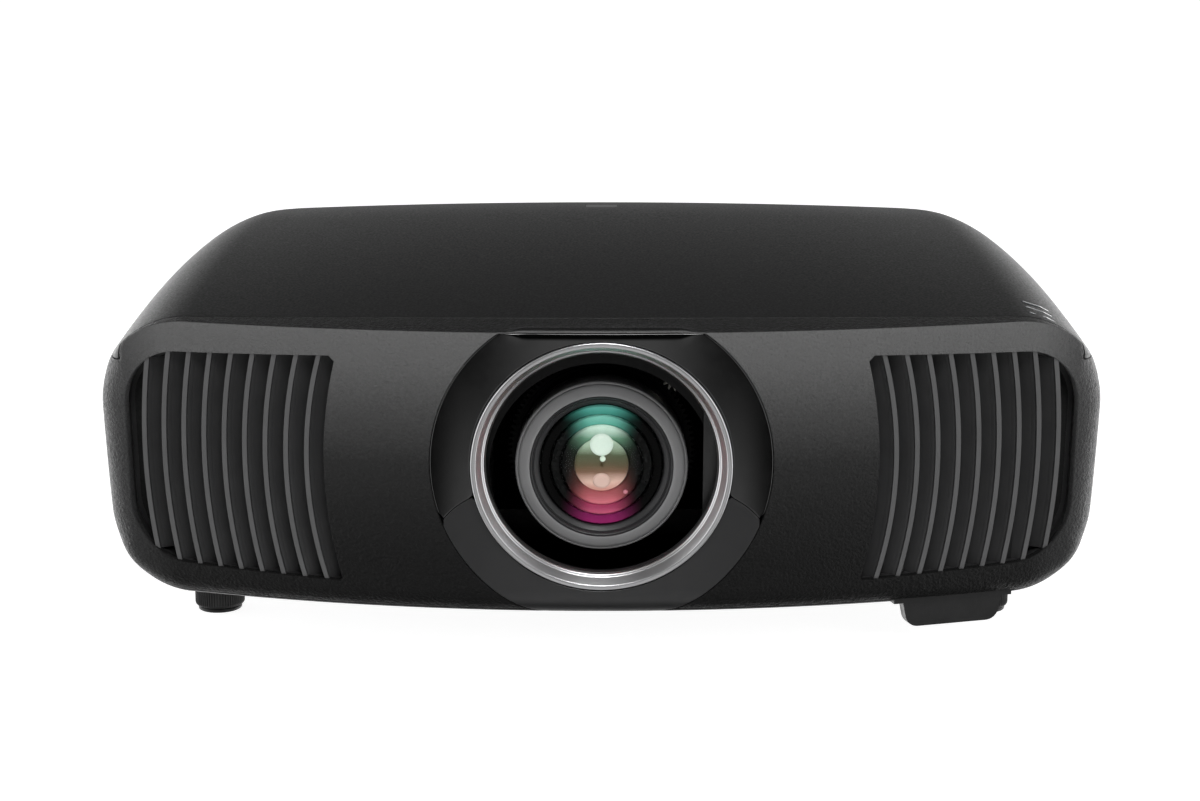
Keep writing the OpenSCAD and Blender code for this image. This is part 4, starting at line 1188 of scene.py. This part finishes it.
# ---------------------------------------------------------------- materials for the CAD nodes that stay
NODE_MATERIALS = {
    "shutter_housing": "inner_black", "shutter_leaf_front": "leaf", "shutter_leaf_rear": "leaf",
    "light_guides": "guide", "blank_label": "label", "control_plate": "plate",
    "power_button": "key", "menu_button": "key", "escape_button": "key", "enter_button": "key",
    "up_button": "key", "down_button": "key", "left_button": "key", "right_button": "key",
    "io_plate": "base", "hdmi_sockets": "nickel", "lan_socket": "nickel", "usb_sockets": "nickel",
    "serial_port": "steel", "trigger_jack": "rubber", "ac_inlet": "plate",
    "filter_cassette": "base", "filter_media": "media", "shift_base": "alloy", "vertical_carriage": "alloy",
    "vertical_screw": "steel", "horizontal_screw": "steel", "vertical_motor": "dark_steel",
    # the barrel and its rings get the near-black material: partly their own black, partly painted shade for
    # the recess behind the lens ring
    "horizontal_motor": "dark_steel", "lens_barrel": "inner_black",
    "focus_ring": "inner_black", "zoom_ring": "inner_black",
    "focus_pinion": "nylon", "zoom_pinion": "nylon", "lens_motors": "dark_steel", "optical_engine": "alloy",
    "light_source": "alloy", "phosphor_wheel": "brass", "fan_frames": "base", "left_fan_rotor": "plate",
    "right_fan_rotor": "plate", "power_supply": "board", "main_board": "board", "case_screws": "dark_steel",
}


def dress_nodes():
    """One material on each CAD node that is shown as it is."""
    for name, key in NODE_MATERIALS.items():
        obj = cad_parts[name]
        obj.data.materials.clear()
        obj.data.materials.append(MAT[key])
        for poly in obj.data.polygons:
            poly.material_index = 0


dress_nodes()


# ---------------------------------------------------------------- stage, camera and light
def make_stage():
    mesh = bpy.data.meshes.new("floor")
    reach = 14.0
    corners = [(-reach, -reach, 0), (reach, -reach, 0), (reach, reach, 0), (-reach, reach, 0)]
    mesh.from_pydata(corners, [], [(0, 1, 2, 3)])
    floor = bpy.data.objects.new("floor", mesh)
    bpy.context.scene.collection.objects.link(floor)
    f = Finish("pale_floor")
    f.paint(f.noise(300, 2), [(0.3, 0.42), (0.7, 0.44)])
    f.rough(f.noise(80, 2), 0.7, 0.8)
    f.set(Emission_Color=(1, 1, 1, 1), Emission_Strength=0.93)
    mesh.materials.append(f.m)
    floor.visible_glossy = False


def area(name, where, at, size, power, size_y=None):
    """A soft light in metres and watts: round, or oblong when size_y is given."""
    lamp = bpy.data.lights.new(name, "AREA")
    lamp.shape = "RECTANGLE" if size_y else "DISK"
    lamp.size = size
    lamp.size_y = size_y or size
    lamp.energy = power
    obj = bpy.data.objects.new(name, lamp)
    bpy.context.scene.collection.objects.link(obj)
    obj.location = where
    obj.rotation_euler = (Vector(at) - Vector(where)).to_track_quat("-Z", "Y").to_euler()
    return obj


def make_world():
    world = bpy.data.worlds.new("studio")
    bpy.context.scene.world = world
    world.use_nodes = True
    nodes, links = world.node_tree.nodes, world.node_tree.links
    nodes.clear()
    out = nodes.new("ShaderNodeOutputWorld")
    camera = nodes.new("ShaderNodeBackground")
    camera.inputs[0].default_value = (1, 1, 1, 1)
    camera.inputs[1].default_value = 1.05
    other = nodes.new("ShaderNodeBackground")
    mix = nodes.new("ShaderNodeMixShader")
    path = nodes.new("ShaderNodeLightPath")
    links.new(path.outputs["Is Camera Ray"], mix.inputs[0])
    links.new(other.outputs[0], mix.inputs[1])
    links.new(camera.outputs[0], mix.inputs[2])
    links.new(mix.outputs[0], out.inputs[0])
    # soft card below the camera, light from both sides and from behind, and a dim room elsewhere
    coord = nodes.new("ShaderNodeTexCoord")
    sep = nodes.new("ShaderNodeSeparateXYZ")
    links.new(coord.outputs["Generated"], sep.inputs[0])

    def calc(op, a, b):
        return math_node(nodes, links, op, a, b)

    def step(value, lo, hi):
        return soft_step(nodes, links, value, lo, hi)

    x, y, z = sep.outputs
    across = calc("ABSOLUTE", x, 0.0)
    wide = calc("MULTIPLY", step(across, 0.31, 0.24), step(z, -0.38, -0.45))
    strip = calc("MULTIPLY", step(across, 0.25, 0.07), step(z, 0.1, -0.3))
    card = calc("MULTIPLY", calc("MAXIMUM", wide, strip), step(y, -0.1, -0.4))
    behind = calc("MULTIPLY", step(y, 0.3, 0.95), step(z, 0.42, 0.02))
    sides = calc("MULTIPLY", step(across, 0.45, 0.9), step(z, 0.95, 0.3))
    far = calc("MULTIPLY", step(y, 0.3, 0.7), step(z, 0.32, 0.0))
    wings = calc("MULTIPLY", step(across, 0.10, 0.34), far)
    behind = calc("ADD", calc("MULTIPLY", behind, 0.8), calc("MULTIPLY", wings, 3.6))
    total = calc("ADD", calc("MULTIPLY", card, 0.66), behind)
    total = calc("ADD", total, calc("MULTIPLY", sides, 1.7))
    links.new(calc("ADD", total, 0.012), other.inputs[1])
    other.inputs[0].default_value = (1, 1, 1, 1)


def make_camera():
    """The camera of the photograph, as fitted to the outline of the case."""
    cam = bpy.data.cameras.new("camera")
    obj = bpy.data.objects.new("camera", cam)
    bpy.context.scene.collection.objects.link(obj)
    cam.sensor_width = 36
    cam.lens = 69.02
    cam.shift_x = -0.00125
    elevation, distance, target = math.radians(12.06), 1.35258, Vector((0, 0, 0.09189))
    obj.location = target + Vector((0, -math.cos(elevation) * distance, math.sin(elevation) * distance))
    obj.rotation_euler = (math.pi / 2 - elevation, 0, 0)
    bpy.context.scene.camera = obj


make_stage()
make_world()
make_camera()
area("overhead", (0, 0.1, 1.7), (0, -0.05, 0.1), 1.2, 4, 0.8)
area("front_high", (0.15, -1.6, 1.75), (0, -0.2, 0.12), 0.9, 30)
area("front_left", (-1.2, -1.6, 0.7), (-0.1, -0.2, 0.10), 0.8, 3).visible_glossy = False
area("front_right", (1.2, -1.6, 0.9), (0.1, -0.2, 0.10), 0.8, 6).visible_glossy = False
bpy.context.scene.view_settings.view_transform = "Standard"
